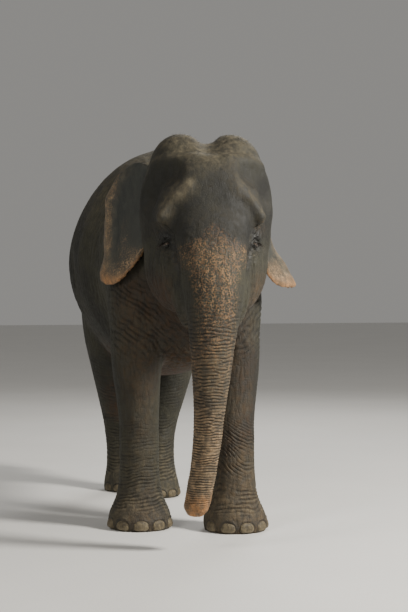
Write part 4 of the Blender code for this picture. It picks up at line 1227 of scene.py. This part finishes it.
def hide_material(settings):
    """Grey-brown elephant hide, finely cracked and dusty, with tan freckled patches, painted shade, painted
    bounce light, a painted brow highlight and a painted sky reflection on the ears.
    """
    material, tree, shader, place, mark = new_material("elephant hide")
    rings, folds, streaks, crossing = creases(tree, place, mark)
    net = tree.step(tree.cells(place, (75.0, 75.0, 60.0), "DISTANCE_TO_EDGE"), 0.0, 0.20, 1.0, 0.0)
    fine = tree.step(tree.cells(place, (190.0, 190.0, 150.0), "DISTANCE_TO_EDGE"), 0.0, 0.25, 1.0, 0.0)
    grain = tree.noise(place, (420.0, 420.0, 420.0), 2.0)
    rugged = 1 - mark("smooth") * 0.7
    deep = (rings * 0.9 + folds * 0.8 + streaks * 0.45 + crossing * 0.20).clamped()
    cracks = (net * rugged * 0.5 + fine * 0.4).clamped()

    broad = tree.step(tree.noise(place, (2.6, 2.6, 2.2), 4.0, 0.6), 0.35, 0.68)
    mottle = tree.step(tree.noise(place, (30.0, 30.0, 22.0), 4.0, 0.65), 0.32, 0.70)
    colour = tree.mix(broad, settings.dark_hide, settings.light_hide)
    # Ears: their grey, with a painted blue sky reflection.
    colour = tree.mix(mark("ear") * 0.7, colour, EAR_GREY_AND_SKY_REFLECTION)
    # Painted orange bounce light on throat and belly.
    colour = tree.mix(mark("warm") * (0.35 + mottle * 0.5), colour, BOUNCE_LIGHT_ORANGE)
    # Dust, which here also paints the highlight along the brow ridges.
    colour = tree.mix(mark("dust") * (0.15 + mottle * 0.55 + broad * 0.2), colour, settings.dust)
    colour = tree.mix(mark("pale") * (1 - rings) * (0.30 + mottle * 0.45), colour, CREAM)
    patches = tree.noise(place, (9.0, 9.0, 8.0), 3.0) - 0.5
    share = mark("tan") + patches * tree.step(mark("tan"), 0.05, 0.4) * (0.5 + mark("ear") * 0.9)
    coarse = tree.cells(place, (98.0, 98.0, 98.0))
    spots = coarse + (tree.cells(place, (165.0, 165.0, 165.0)) - coarse) * mark("ear")
    spots = spots + (tree.noise(place, (260.0, 260.0, 260.0)) - 0.5) * 0.24
    tan = tree.step(spots + share * 0.20 - 0.70, -0.07, 0.09) * tree.step(share, 0.08, 0.80)
    # Tan freckles fade in the rings, folds and creases: painted shade.
    tan = tan.clamped() * (1 - deep * 0.35)
    bald = tree.mix(mark("ear") * 0.6, tree.mix(mottle, TAN_DARK, settings.freckles), CREAM)
    colour = tree.mix(tan, colour, bald)
    bare = mark("bare") * (0.70 + patches)
    colour = tree.mix(bare.clamped(), colour, tree.mix(mottle, settings.freckles, TAN_BARE))
    # Random tone, and painted shade on the forehead, brows and domes.
    colour = tree.shade(colour, (0.78 + mottle * 0.44) * (1 - mark("sooty") * 0.66))
    # Painted shade in the rings, folds, creases and fine cracks; damp streaks and painted shade round the
    # eyes, darker round the nails.
    colour = tree.shade(colour, (1 - deep * 0.58) * (1 - cracks * 0.30) * (1 - mark("damp") * 0.78))
    rough = 0.66 + mottle * 0.16 - mark("ear") * 0.12 + deep * 0.10 - mark("damp") * 0.22

    height = grain * 0.0003 - cracks * 0.0009 - rings * 0.0030 - folds * 0.0034
    height = height - streaks * 0.0014 - crossing * 0.0008 + mottle * 0.0008
    tree.feed(shader, {"Base Color": colour, "Roughness": rough, "Normal": tree.bumped(height)})
    return material


def nail_material():
    """Worn horn with ridges that run down the nail."""
    material, tree, shader, place, mark = new_material("horn")
    along_one_axis = {"noise_dimensions": "1D"}
    ridges = tree("ShaderNodeTexNoise", along_one_axis, {"W": mark("across"), "Scale": 26.0, "Detail": 3.0})
    cloud = tree.noise(place, (45.0, 45.0, 30.0), 4.0, 0.6)
    chips = tree.step(tree.noise(place, (120.0, 120.0, 90.0), 2.0), 0.56, 0.66)
    colour = tree.mix(tree.step(cloud, 0.35, 0.68), NAIL_DARK, NAIL_LIGHT)
    worn = tree.step(mark("down"), 0.55, 1.0) * (0.4 + cloud * 0.8)
    colour = tree.mix(worn.clamped(), colour, DUST)
    colour = tree.shade(colour, 0.78 + ridges * 0.4)
    colour = tree.shade(colour, 1 - chips * 0.25)
    height = ridges * 0.0022 - chips * 0.0006 + cloud * 0.0015
    rough = 0.5 + cloud * 0.25
    tree.feed(shader, {"Base Color": colour, "Roughness": rough, "Normal": tree.bumped(height)})
    return material


def eye_material():
    """A wet dark brown eye: pupil, streaked iris and brown-rimmed white."""
    material, tree, shader, place, mark = new_material("eye", **{"Coat Roughness": 0.03, "Coat IOR": 1.38})
    aside = mark("aside")
    streaks = tree.noise(place, (900.0, 900.0, 900.0), 3.0)
    iris = tree.mix(tree.step(aside + (streaks - 0.5) * 0.12, 0.20, 0.50), IRIS_INNER, IRIS_OUTER)
    veins = tree.noise(place, (240.0, 240.0, 240.0), 3.0)
    white = tree.mix(tree.step(veins, 0.40, 0.62), EYE_WHITE, EYE_BROWN)
    colour = tree.mix(tree.step(aside, 0.50, 0.60), iris, white)
    colour = tree.mix(tree.step(aside, 0.15, 0.19, 1.0, 0.0), colour, PUPIL)
    tree.feed(shader, {
        "Base Color": colour,
        "Roughness": 0.14 + veins * 0.1,
        "Coat Weight": tree.step(aside, 0.75, 1.1, 1.0, 0.6),
        "Normal": tree.bumped(streaks * 0.00008),
    })
    return material


def hair_material():
    """Coarse near-black bristle, browner in places."""
    material, tree, shader, place, mark = new_material("bristle")
    along = mark("along")
    streaks = tree.noise(place, (300.0, 300.0, 40.0), 2.0)
    colour = tree.mix(tree.step(along + streaks * 0.4, 0.4, 1.2), HAIR_ROOT, HAIR_TIP)
    colour = tree.shade(colour, 0.6 + streaks * 0.8)
    tree.feed(shader, {"Base Color": colour, "Roughness": 0.38 + streaks * 0.25})
    return material


def floor_material():
    """Pale seamless studio floor with a faint mottling."""
    material, tree, shader, place, mark = new_material("studio floor")
    cloud = tree.noise(place, (0.8, 0.8, 0.8), 5.0, 0.6)
    dust = tree.noise(place, (60.0, 60.0, 60.0), 3.0, 0.6)
    colour = tree.shade(tree.mix(cloud, FLOOR_LOW, FLOOR_HIGH), 0.96 + dust * 0.08)
    rough = 0.62 + cloud * 0.2
    tree.feed(shader, {"Base Color": colour, "Roughness": rough, "Normal": tree.bumped(dust * 0.001)})
    return material


# ---- eyes, nails and hair ----------------------------------------------------------------------------
def finished(piece, material):
    """The piece with its material, shaded smooth."""
    piece.data.materials.append(material)
    piece.data.shade_smooth()
    return piece


def make_eye(name, side, material):
    """A ball with a cornea that stands out, marked by how far each point is from the line of sight."""
    centre = Vector(node_centre("eye_" + name))
    gaze = head_frame().to_3x3() @ Vector((side * EYE_GAZE.x, EYE_GAZE.y, EYE_GAZE.z))
    turn = gaze.to_track_quat("Z", "Y").to_matrix().to_4x4()
    bm = bmesh.new()
    bmesh.ops.create_uvsphere(bm, u_segments=64, v_segments=48, radius=1.0)
    ball = finish_mesh(bm, "eyeball_" + name)
    points = read(ball.data)
    aside = np.arccos(np.clip(points[:, 2], -1, 1))
    cornea = CORNEA_RISE * bump(aside, CORNEA_EDGE)
    write(ball.data, points * (EYE_RADIUS + cornea)[:, None])
    ball.data.transform(Matrix.Translation(centre) @ turn)
    store(ball.data, "aside", aside)
    return finished(ball, material)


def make_nail(name, place, width, height, material):
    """A blunt oval shield of horn, flattened in front, ridged and worn at its lower edge."""
    bm = bmesh.new()
    bmesh.ops.create_uvsphere(bm, u_segments=48, v_segments=32, radius=1.0)
    nail = finish_mesh(bm, name)
    points = read(nail.data)
    x, y, z = points.T
    store(nail.data, "across", x * 0.5 + 0.5)
    store(nail.data, "down", 0.5 - z * 0.5)
    broad = power(x, 0.86) * (1 - 0.10 * z)
    tall = np.where(z < 0, np.clip(power(z, 0.80), -0.93, 0), power(z, 0.94))
    front = power(y, 0.80) * (1 + 0.04 * np.cos(x * 23.0 + width * 900.0))
    growth = 0.018 * np.sin(z * 14.0 + height * 500.0) * (y < 0)
    points = np.column_stack([broad * width / 2, (front + growth) * NAIL_DEPTH, tall * height / 2])
    write(nail.data, points)
    nail.data.transform(place)
    return finished(nail, material)


def bristle_tree():
    """Geometry nodes that stand a tapered bristle on each root, let it sag and give it its bake map."""
    tree = geometry_tree("bristles", {"Bends": "Int"})

    def kept(geometry, name, value, kind="FLOAT", domain="POINT"):
        sockets = {"Geometry": geometry, "Name": name, "Value": value}
        return tree("GeometryNodeStoreNamedAttribute", {"data_type": kind, "domain": domain}, sockets)

    def vector(x=0.0, y=0.0, z=0.0):
        return tree("ShaderNodeCombineXYZ", None, {0: x, 1: y, 2: z})

    taper = {"Radius Top": 0.08, "Radius Bottom": 1.0, "Depth": 1.0}
    cone = {"Vertices": 4, "Side Segments": tree.given("Bends"), **taper}
    strand = tree("GeometryNodeMeshCone", {"fill_type": "NGON"}, cone)
    place = tree("GeometryNodeInputPosition")
    rise = tree("ShaderNodeSeparateXYZ", None, {0: place}, out=2)
    strand = kept(strand, "along", rise)
    strand = kept(strand, "strand", place, "FLOAT_VECTOR")
    roots = tree("GeometryNodeMeshToPoints", None, {"Mesh": tree.given("Geometry")})
    lie = tree.field("lie", "FLOAT_VECTOR")
    turn = tree("FunctionNodeAlignRotationToVector", {"axis": "Z"}, {"Vector": lie})
    size = vector(tree.field("width"), tree.field("width"), tree.field("length"))
    stood = {"Points": roots, "Instance": strand, "Rotation": turn, "Scale": size}
    stood = tree("GeometryNodeInstanceOnPoints", None, stood)
    hairs = tree("GeometryNodeRealizeInstances", None, {"Geometry": stood})
    along = tree.field("along")
    bend = along * along * tree.field("length")
    wave = tree.noise(tree("GeometryNodeInputPosition"), (9.0, 9.0, 9.0)) - 0.5
    drop = vector(wave * bend * 0.5, wave * bend * 0.35, -1.0 * bend * tree.field("sag"))
    hairs = tree("GeometryNodeSetPosition", None, {"Geometry": hairs, "Offset": drop})
    patch = tree.scaled(tree.field("strand", "FLOAT_VECTOR"), (0.0012, 0.0, 0.0))
    spot = tree.summed(tree.field("unwrap", "FLOAT_VECTOR"), patch)
    spot = tree.summed(spot, vector(y=along * 0.0024))
    return tree.deliver(kept(hairs, "OFBake", spot, "FLOAT2", "CORNER"))


def unwrapped(points):
    """Where each point lies on the skin unrolled about its long axis, the tail unrolled beside it."""
    turn = np.arctan2(points[:, 2] - 1.5, points[:, 0]) / (2 * math.pi) + 0.5
    run = (points[:, 1] - CAD_BOX[0].y) / (CAD_BOX[1].y - CAD_BOX[0].y)
    tail = (points[:, 1] > 1.40) & (points[:, 2] < 1.2)
    turn = np.where(tail, 0.02 + 0.2 * (points[:, 0] * 12 % 1), 0.25 + 0.72 * turn)
    run = np.where(tail, 0.05 + 0.8 * (points[:, 2] - 0.5), 0.02 + 0.95 * run)
    return np.column_stack([turn, run, np.zeros(len(points))])


def roots_of(skin, name, weight):
    """Random points on the skin, thicker where the weight of a face is greater, and their normals."""
    seed, count = HAIR[name][:2]
    rng = np.random.default_rng(seed)
    mesh = skin.data
    centres, normals, areas = (np.empty((len(mesh.polygons), width)) for width in (3, 3, 1))
    for values, what in ((centres, "center"), (normals, "normal"), (areas, "area")):
        mesh.polygons.foreach_get(what, values.ravel())
    areas = areas[:, 0]
    chance = areas * weight(centres)
    picked = rng.choice(len(areas), count, p=chance / chance.sum())
    jitter = rng.normal(0, 0.002, (count, 3))
    return centres[picked] + jitter - normals[picked] * 0.003, normals[picked], rng


def grow(name, roots, lie, length, material):
    """Bristles of given lengths, one from each root."""
    width, sag, bends = HAIR[name][2:]
    mesh = bpy.data.meshes.new(name)
    mesh.from_pydata([tuple(p) for p in roots], [], [])
    obj = shown(name, mesh)
    for field, values in (("length", length), ("width", width), ("sag", sag)):
        store(mesh, field, np.broadcast_to(values, len(roots)))
    for field, values in (("lie", lie), ("unwrap", unwrapped(roots))):
        attribute = mesh.attributes.new(field, "FLOAT_VECTOR", "POINT")
        attribute.data.foreach_set("vector", np.ascontiguousarray(values, np.float32).ravel())
    hair = with_nodes(obj, bristle_tree(), {"Bends": bends, "Material": material})
    if hair.data.materials[0] is None:      # the bare roots leave an empty slot before the hair's own
        hair.data.materials.pop(index=0)
    for spare in ("lie", "unwrap", "strand", "length", "width", "sag"):
        if spare in hair.data.attributes:
            hair.data.attributes.remove(hair.data.attributes[spare])
    hair.data.shade_smooth()
    return hair


def make_crown_hair(skin, material):
    """Sparse bristles on the domes and brow, and along the back of the head."""
    to_head = head_frame().inverted()

    def weight(centres):
        x, y, z = into(to_head, centres).T
        return smooth_step(z, 1.98, 2.25) * smooth_step(y, -0.70, -0.95) * smooth_step(np.abs(x), 0.34, 0.22)

    roots, normals, rng = roots_of(skin, "crown_bristles", weight)
    lie = normals + np.array([0, -0.25, 0.35]) + rng.normal(0, 0.30, roots.shape)
    length = rng.uniform(0.008, 0.024, len(roots))
    return grow("crown_bristles", roots, lie, length, material)


def make_chin_hair(skin, material):
    """Bristles under the pointed lower lip."""
    to_head = head_frame().inverted()

    def weight(centres):
        x, y, z = into(to_head, centres).T
        lip = smooth_step(z, 1.36, 1.22) * smooth_step(y, -1.02, -1.20)
        return lip * (z > 1.08) * (np.abs(x) < 0.11) * (y > -1.40)

    roots, normals, rng = roots_of(skin, "chin_bristles", weight)
    lie = normals + np.array([0, -0.3, -0.4]) + rng.normal(0, 0.30, roots.shape)
    length = rng.uniform(0.020, 0.050, len(roots))
    return grow("chin_bristles", roots, lie, length, material)


def make_lashes(skin, material):
    """Long lashes along both upper lids, pointing out and down."""
    points, normals = read(skin.data), read(skin.data, "normal")
    seed, count = HAIR["lashes"][:2]
    rng = np.random.default_rng(seed)
    roots, lies = [], []
    for centre, along, up, out in eye_frames(points, normals):
        for a in np.linspace(-0.86, 0.80, count):
            a = a * SLIT_HALF + rng.normal(0, 0.0006)
            b = SLIT_ABOVE * math.sqrt(max(0.0, 1 - (a / SLIT_HALF) ** 2)) ** SLIT_POINTED + 0.0012
            h = math.sqrt((EYE_RADIUS + LID_THICK) ** 2 - a * a - b * b) - 0.0015
            roots.append(centre + along * a + up * b + out * h)
            lies.append(out * 0.95 + up * rng.normal(-0.25, 0.12) + along * (a * 22 + rng.normal(0, 0.10)))
    roots, lies = np.array(roots), np.array(lies)
    length = rng.uniform(0.035, 0.060, len(roots))
    return grow("lashes", roots, lies, length, material)


def make_tail_hair(skin, material):
    """The tuft: long wiry hair from the last stretch of the tail."""
    middle = node_centre("tail_tuft")

    def weight(centres):
        near = np.hypot(centres[:, 0] - middle[0], centres[:, 1] - middle[1]) < 0.10
        return near * (centres[:, 2] < TUFT_TOP + 0.03) * (centres[:, 2] > 0.6)

    roots, normals, rng = roots_of(skin, "tail_tuft_hair", weight)
    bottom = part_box("tail_tuft")[0][2]
    flat = normals * np.array([0.28, 1.0, 0.0])
    lie = flat * 0.28 + np.array([0, 0, -1.0]) + rng.normal(0, 0.04, roots.shape)
    length = (roots[:, 2] - bottom) * rng.uniform(0.55, 0.98, len(roots))
    return grow("tail_tuft_hair", roots, lie, np.minimum(length, TUFT_HAIR_LENGTH), material)


# ---- the studio --------------------------------------------------------------------------------------
def make_floor(material):
    """A wide flat floor under the soles."""
    bm = bmesh.new()
    bmesh.ops.create_grid(bm, x_segments=24, y_segments=24, size=40.0)
    floor = finish_mesh(bm, "studio_floor")
    floor.data.materials.append(material)
    floor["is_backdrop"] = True
    return floor


def make_camera():
    """The camera: from in front and a little to her right, at the height of a person's eyes."""
    data = bpy.data.cameras.new("camera")
    data.lens = CAMERA_LENS
    data.sensor_width = CAMERA_SENSOR
    data.sensor_height = CAMERA_SENSOR
    data.sensor_fit = "AUTO"
    camera = shown("camera", data)
    camera.location = CAMERA_PLACE
    camera.rotation_euler = (math.radians(90 - CAMERA_DIP), 0.0, math.radians(CAMERA_AZIMUTH))
    bpy.context.scene.camera = camera


def make_light(name, place, aim, size, watts, colour):
    """A round lamp at its place, turned to its aim."""
    data = bpy.data.lights.new(name, "AREA")
    data.shape = "DISK"
    data.size = size
    data.energy = watts
    data.color = colour
    light = shown(name, data)
    light.location = place
    light.rotation_euler = (Vector(aim) - Vector(place)).to_track_quat("-Z", "Y").to_euler()


def make_world(colour, strength):
    """Even light of one colour from all round."""
    world = bpy.data.worlds.new("studio")
    world.use_nodes = True
    background = world.node_tree.nodes["Background"]
    background.inputs["Color"].default_value = (*colour, 1.0)
    background.inputs["Strength"].default_value = strength
    bpy.context.scene.world = world


# ---- the add-on --------------------------------------------------------------------------------------
def colour_property(name, description, default):
    """A colour that can be changed in the sidebar."""
    return bpy.props.FloatVectorProperty(
        name=name, description=description, default=default, size=4, min=0.0, max=1.0, subtype="COLOR")


class ElephantSkinSettings(bpy.types.PropertyGroup):
    """How deep the creases of the hide are pressed, and its main colours."""

    ring_depth: bpy.props.FloatProperty(
        name="Ring depth", description="Depth of the rings across the trunk", default=0.0045, unit="LENGTH")
    fold_depth: bpy.props.FloatProperty(
        name="Fold depth", description="Depth of the folds of wrists, ankles, throat and flanks",
        default=0.0055, unit="LENGTH")
    crease_depth: bpy.props.FloatProperty(
        name="Crease depth", description="Depth of the long creases of neck, cheeks and legs",
        default=0.0028, unit="LENGTH")
    swell: bpy.props.FloatProperty(
        name="Swell", description="Height of the soft unevenness all over", default=0.0040, unit="LENGTH")
    dark_hide: colour_property("Dark hide", "Darker colour of the plain hide", HIDE_DARK)
    light_hide: colour_property("Light hide", "Lighter colour of the plain hide", HIDE_MID)
    # This colour also paints the highlight along the brow ridges.
    dust: colour_property("Dust", "Colour of the dust on back, brows and feet", DUST)
    freckles: colour_property("Freckles", "Colour of the skin that has lost its pigment", TAN_LIGHT)


class ElephantStudioSettings(bpy.types.PropertyGroup):
    """Light of the studio."""

    key_watts: bpy.props.FloatProperty(
        name="Key light", description="Power of the large lamp high on her left",
        default=1350.0, unit="POWER")
    fill_watts: bpy.props.FloatProperty(
        name="Fill light", description="Power of the soft lamp on her right", default=160.0, unit="POWER")
    sky: bpy.props.FloatProperty(
        name="Surroundings", description="Brightness of the pale surroundings",
        default=0.29, subtype="FACTOR")


class OBJECT_OT_elephant_skin(bpy.types.Operator):
    """Make the one skin that stands for all the flesh"""

    bl_idname = "object.elephant_skin"
    bl_label = "Skin"

    def execute(self, context):
        settings = context.scene.elephant_skin
        depths = {"Ring depth": settings.ring_depth, "Fold depth": settings.fold_depth,
                  "Crease depth": settings.crease_depth, "Swell": settings.swell}
        skin = make_skin(hide_material(settings), depths)
        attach(skin, "root")
        flesh = [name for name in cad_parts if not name.startswith(("eye", "nail", "tail_tuft"))]
        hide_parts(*flesh)
        return {"FINISHED"}


class OBJECT_OT_elephant_eyes(bpy.types.Operator):
    """Make both eyeballs"""

    bl_idname = "object.elephant_eyes"
    bl_label = "Eyes"

    def execute(self, context):
        material = eye_material()
        for name, side in SIDES.items():
            ball = make_eye(name, side, material)
            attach(ball, "root")
            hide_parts("eye_" + name)
        return {"FINISHED"}


class OBJECT_OT_elephant_nails(bpy.types.Operator):
    """Make the nails of all four feet"""

    bl_idname = "object.elephant_nails"
    bl_label = "Nails"

    def execute(self, context):
        material = nail_material()
        for name, place, width, height in nail_places():
            nail = make_nail("horn_" + name, place, width, height, material)
            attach(nail, "root")
            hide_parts(name)
        return {"FINISHED"}


class OBJECT_OT_elephant_hair(bpy.types.Operator):
    """Grow lashes, the tail's tuft and the bristles of crown and chin; needs the skin"""

    bl_idname = "object.elephant_hair"
    bl_label = "Hair"

    def execute(self, context):
        material = hair_material()
        skin = bpy.data.objects["skin"]
        for make in (make_crown_hair, make_chin_hair, make_lashes, make_tail_hair):
            hair = make(skin, material)
            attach(hair, "root")
            if make is make_tail_hair:
                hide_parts("tail_tuft")
        return {"FINISHED"}


class OBJECT_OT_elephant_studio(bpy.types.Operator):
    """Set up floor, camera, lights and surroundings"""

    bl_idname = "object.elephant_studio"
    bl_label = "Studio"

    def execute(self, context):
        settings = context.scene.elephant_studio
        make_floor(floor_material())
        make_camera()
        make_light("key", (5.4, -5.0, 5.6), (0.0, -0.5, 1.2), 1.8, settings.key_watts, (1.0, 0.96, 0.88))
        make_light("fill", (-5.5, -4.6, 5.6), (0.0, -0.8, 1.2), 2.0, settings.fill_watts, (1.0, 0.97, 0.92))
        make_light("rim", (3.0, 6.0, 6.0), (0.0, 0.0, 1.6), 3.0, 260.0, (1.0, 0.98, 0.94))
        make_world((0.93, 0.91, 0.87), settings.sky)
        return {"FINISHED"}


class VIEW3D_PT_elephant(bpy.types.Panel):
    """The elephant's settings and the buttons that make her pieces"""

    bl_label = "Elephant"
    bl_idname = "VIEW3D_PT_elephant"
    bl_space_type = "VIEW_3D"
    bl_region_type = "UI"
    bl_category = "Elephant"

    def draw(self, context):
        column = self.layout.column()
        for settings in (context.scene.elephant_skin, context.scene.elephant_studio):
            for name in settings.bl_rna.properties.keys():
                if name not in ("rna_type", "name"):
                    column.prop(settings, name)
        for operator in OPERATORS:
            column.operator(operator.bl_idname)

SETTINGS = (ElephantSkinSettings, ElephantStudioSettings)
OPERATORS = (
    OBJECT_OT_elephant_skin, OBJECT_OT_elephant_eyes, OBJECT_OT_elephant_nails, OBJECT_OT_elephant_hair,
    OBJECT_OT_elephant_studio,
)


def register():
    for item in (*SETTINGS, *OPERATORS, VIEW3D_PT_elephant):
        bpy.utils.register_class(item)
    bpy.types.Scene.elephant_skin = bpy.props.PointerProperty(type=ElephantSkinSettings)
    bpy.types.Scene.elephant_studio = bpy.props.PointerProperty(type=ElephantStudioSettings)


def unregister():
    del bpy.types.Scene.elephant_studio
    del bpy.types.Scene.elephant_skin
    for item in reversed((*SETTINGS, *OPERATORS, VIEW3D_PT_elephant)):
        bpy.utils.unregister_class(item)


def main():
    register()
    bpy.ops.object.elephant_skin()
    bpy.ops.object.elephant_eyes()
    bpy.ops.object.elephant_nails()
    bpy.ops.object.elephant_hair()
    bpy.ops.object.elephant_studio()
    boxes = {"cad": CAD_BOX, "visual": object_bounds()}
    {name: [list(corner) for corner in box] for name, box in boxes.items()}

if __name__ == "__main__":
    main()
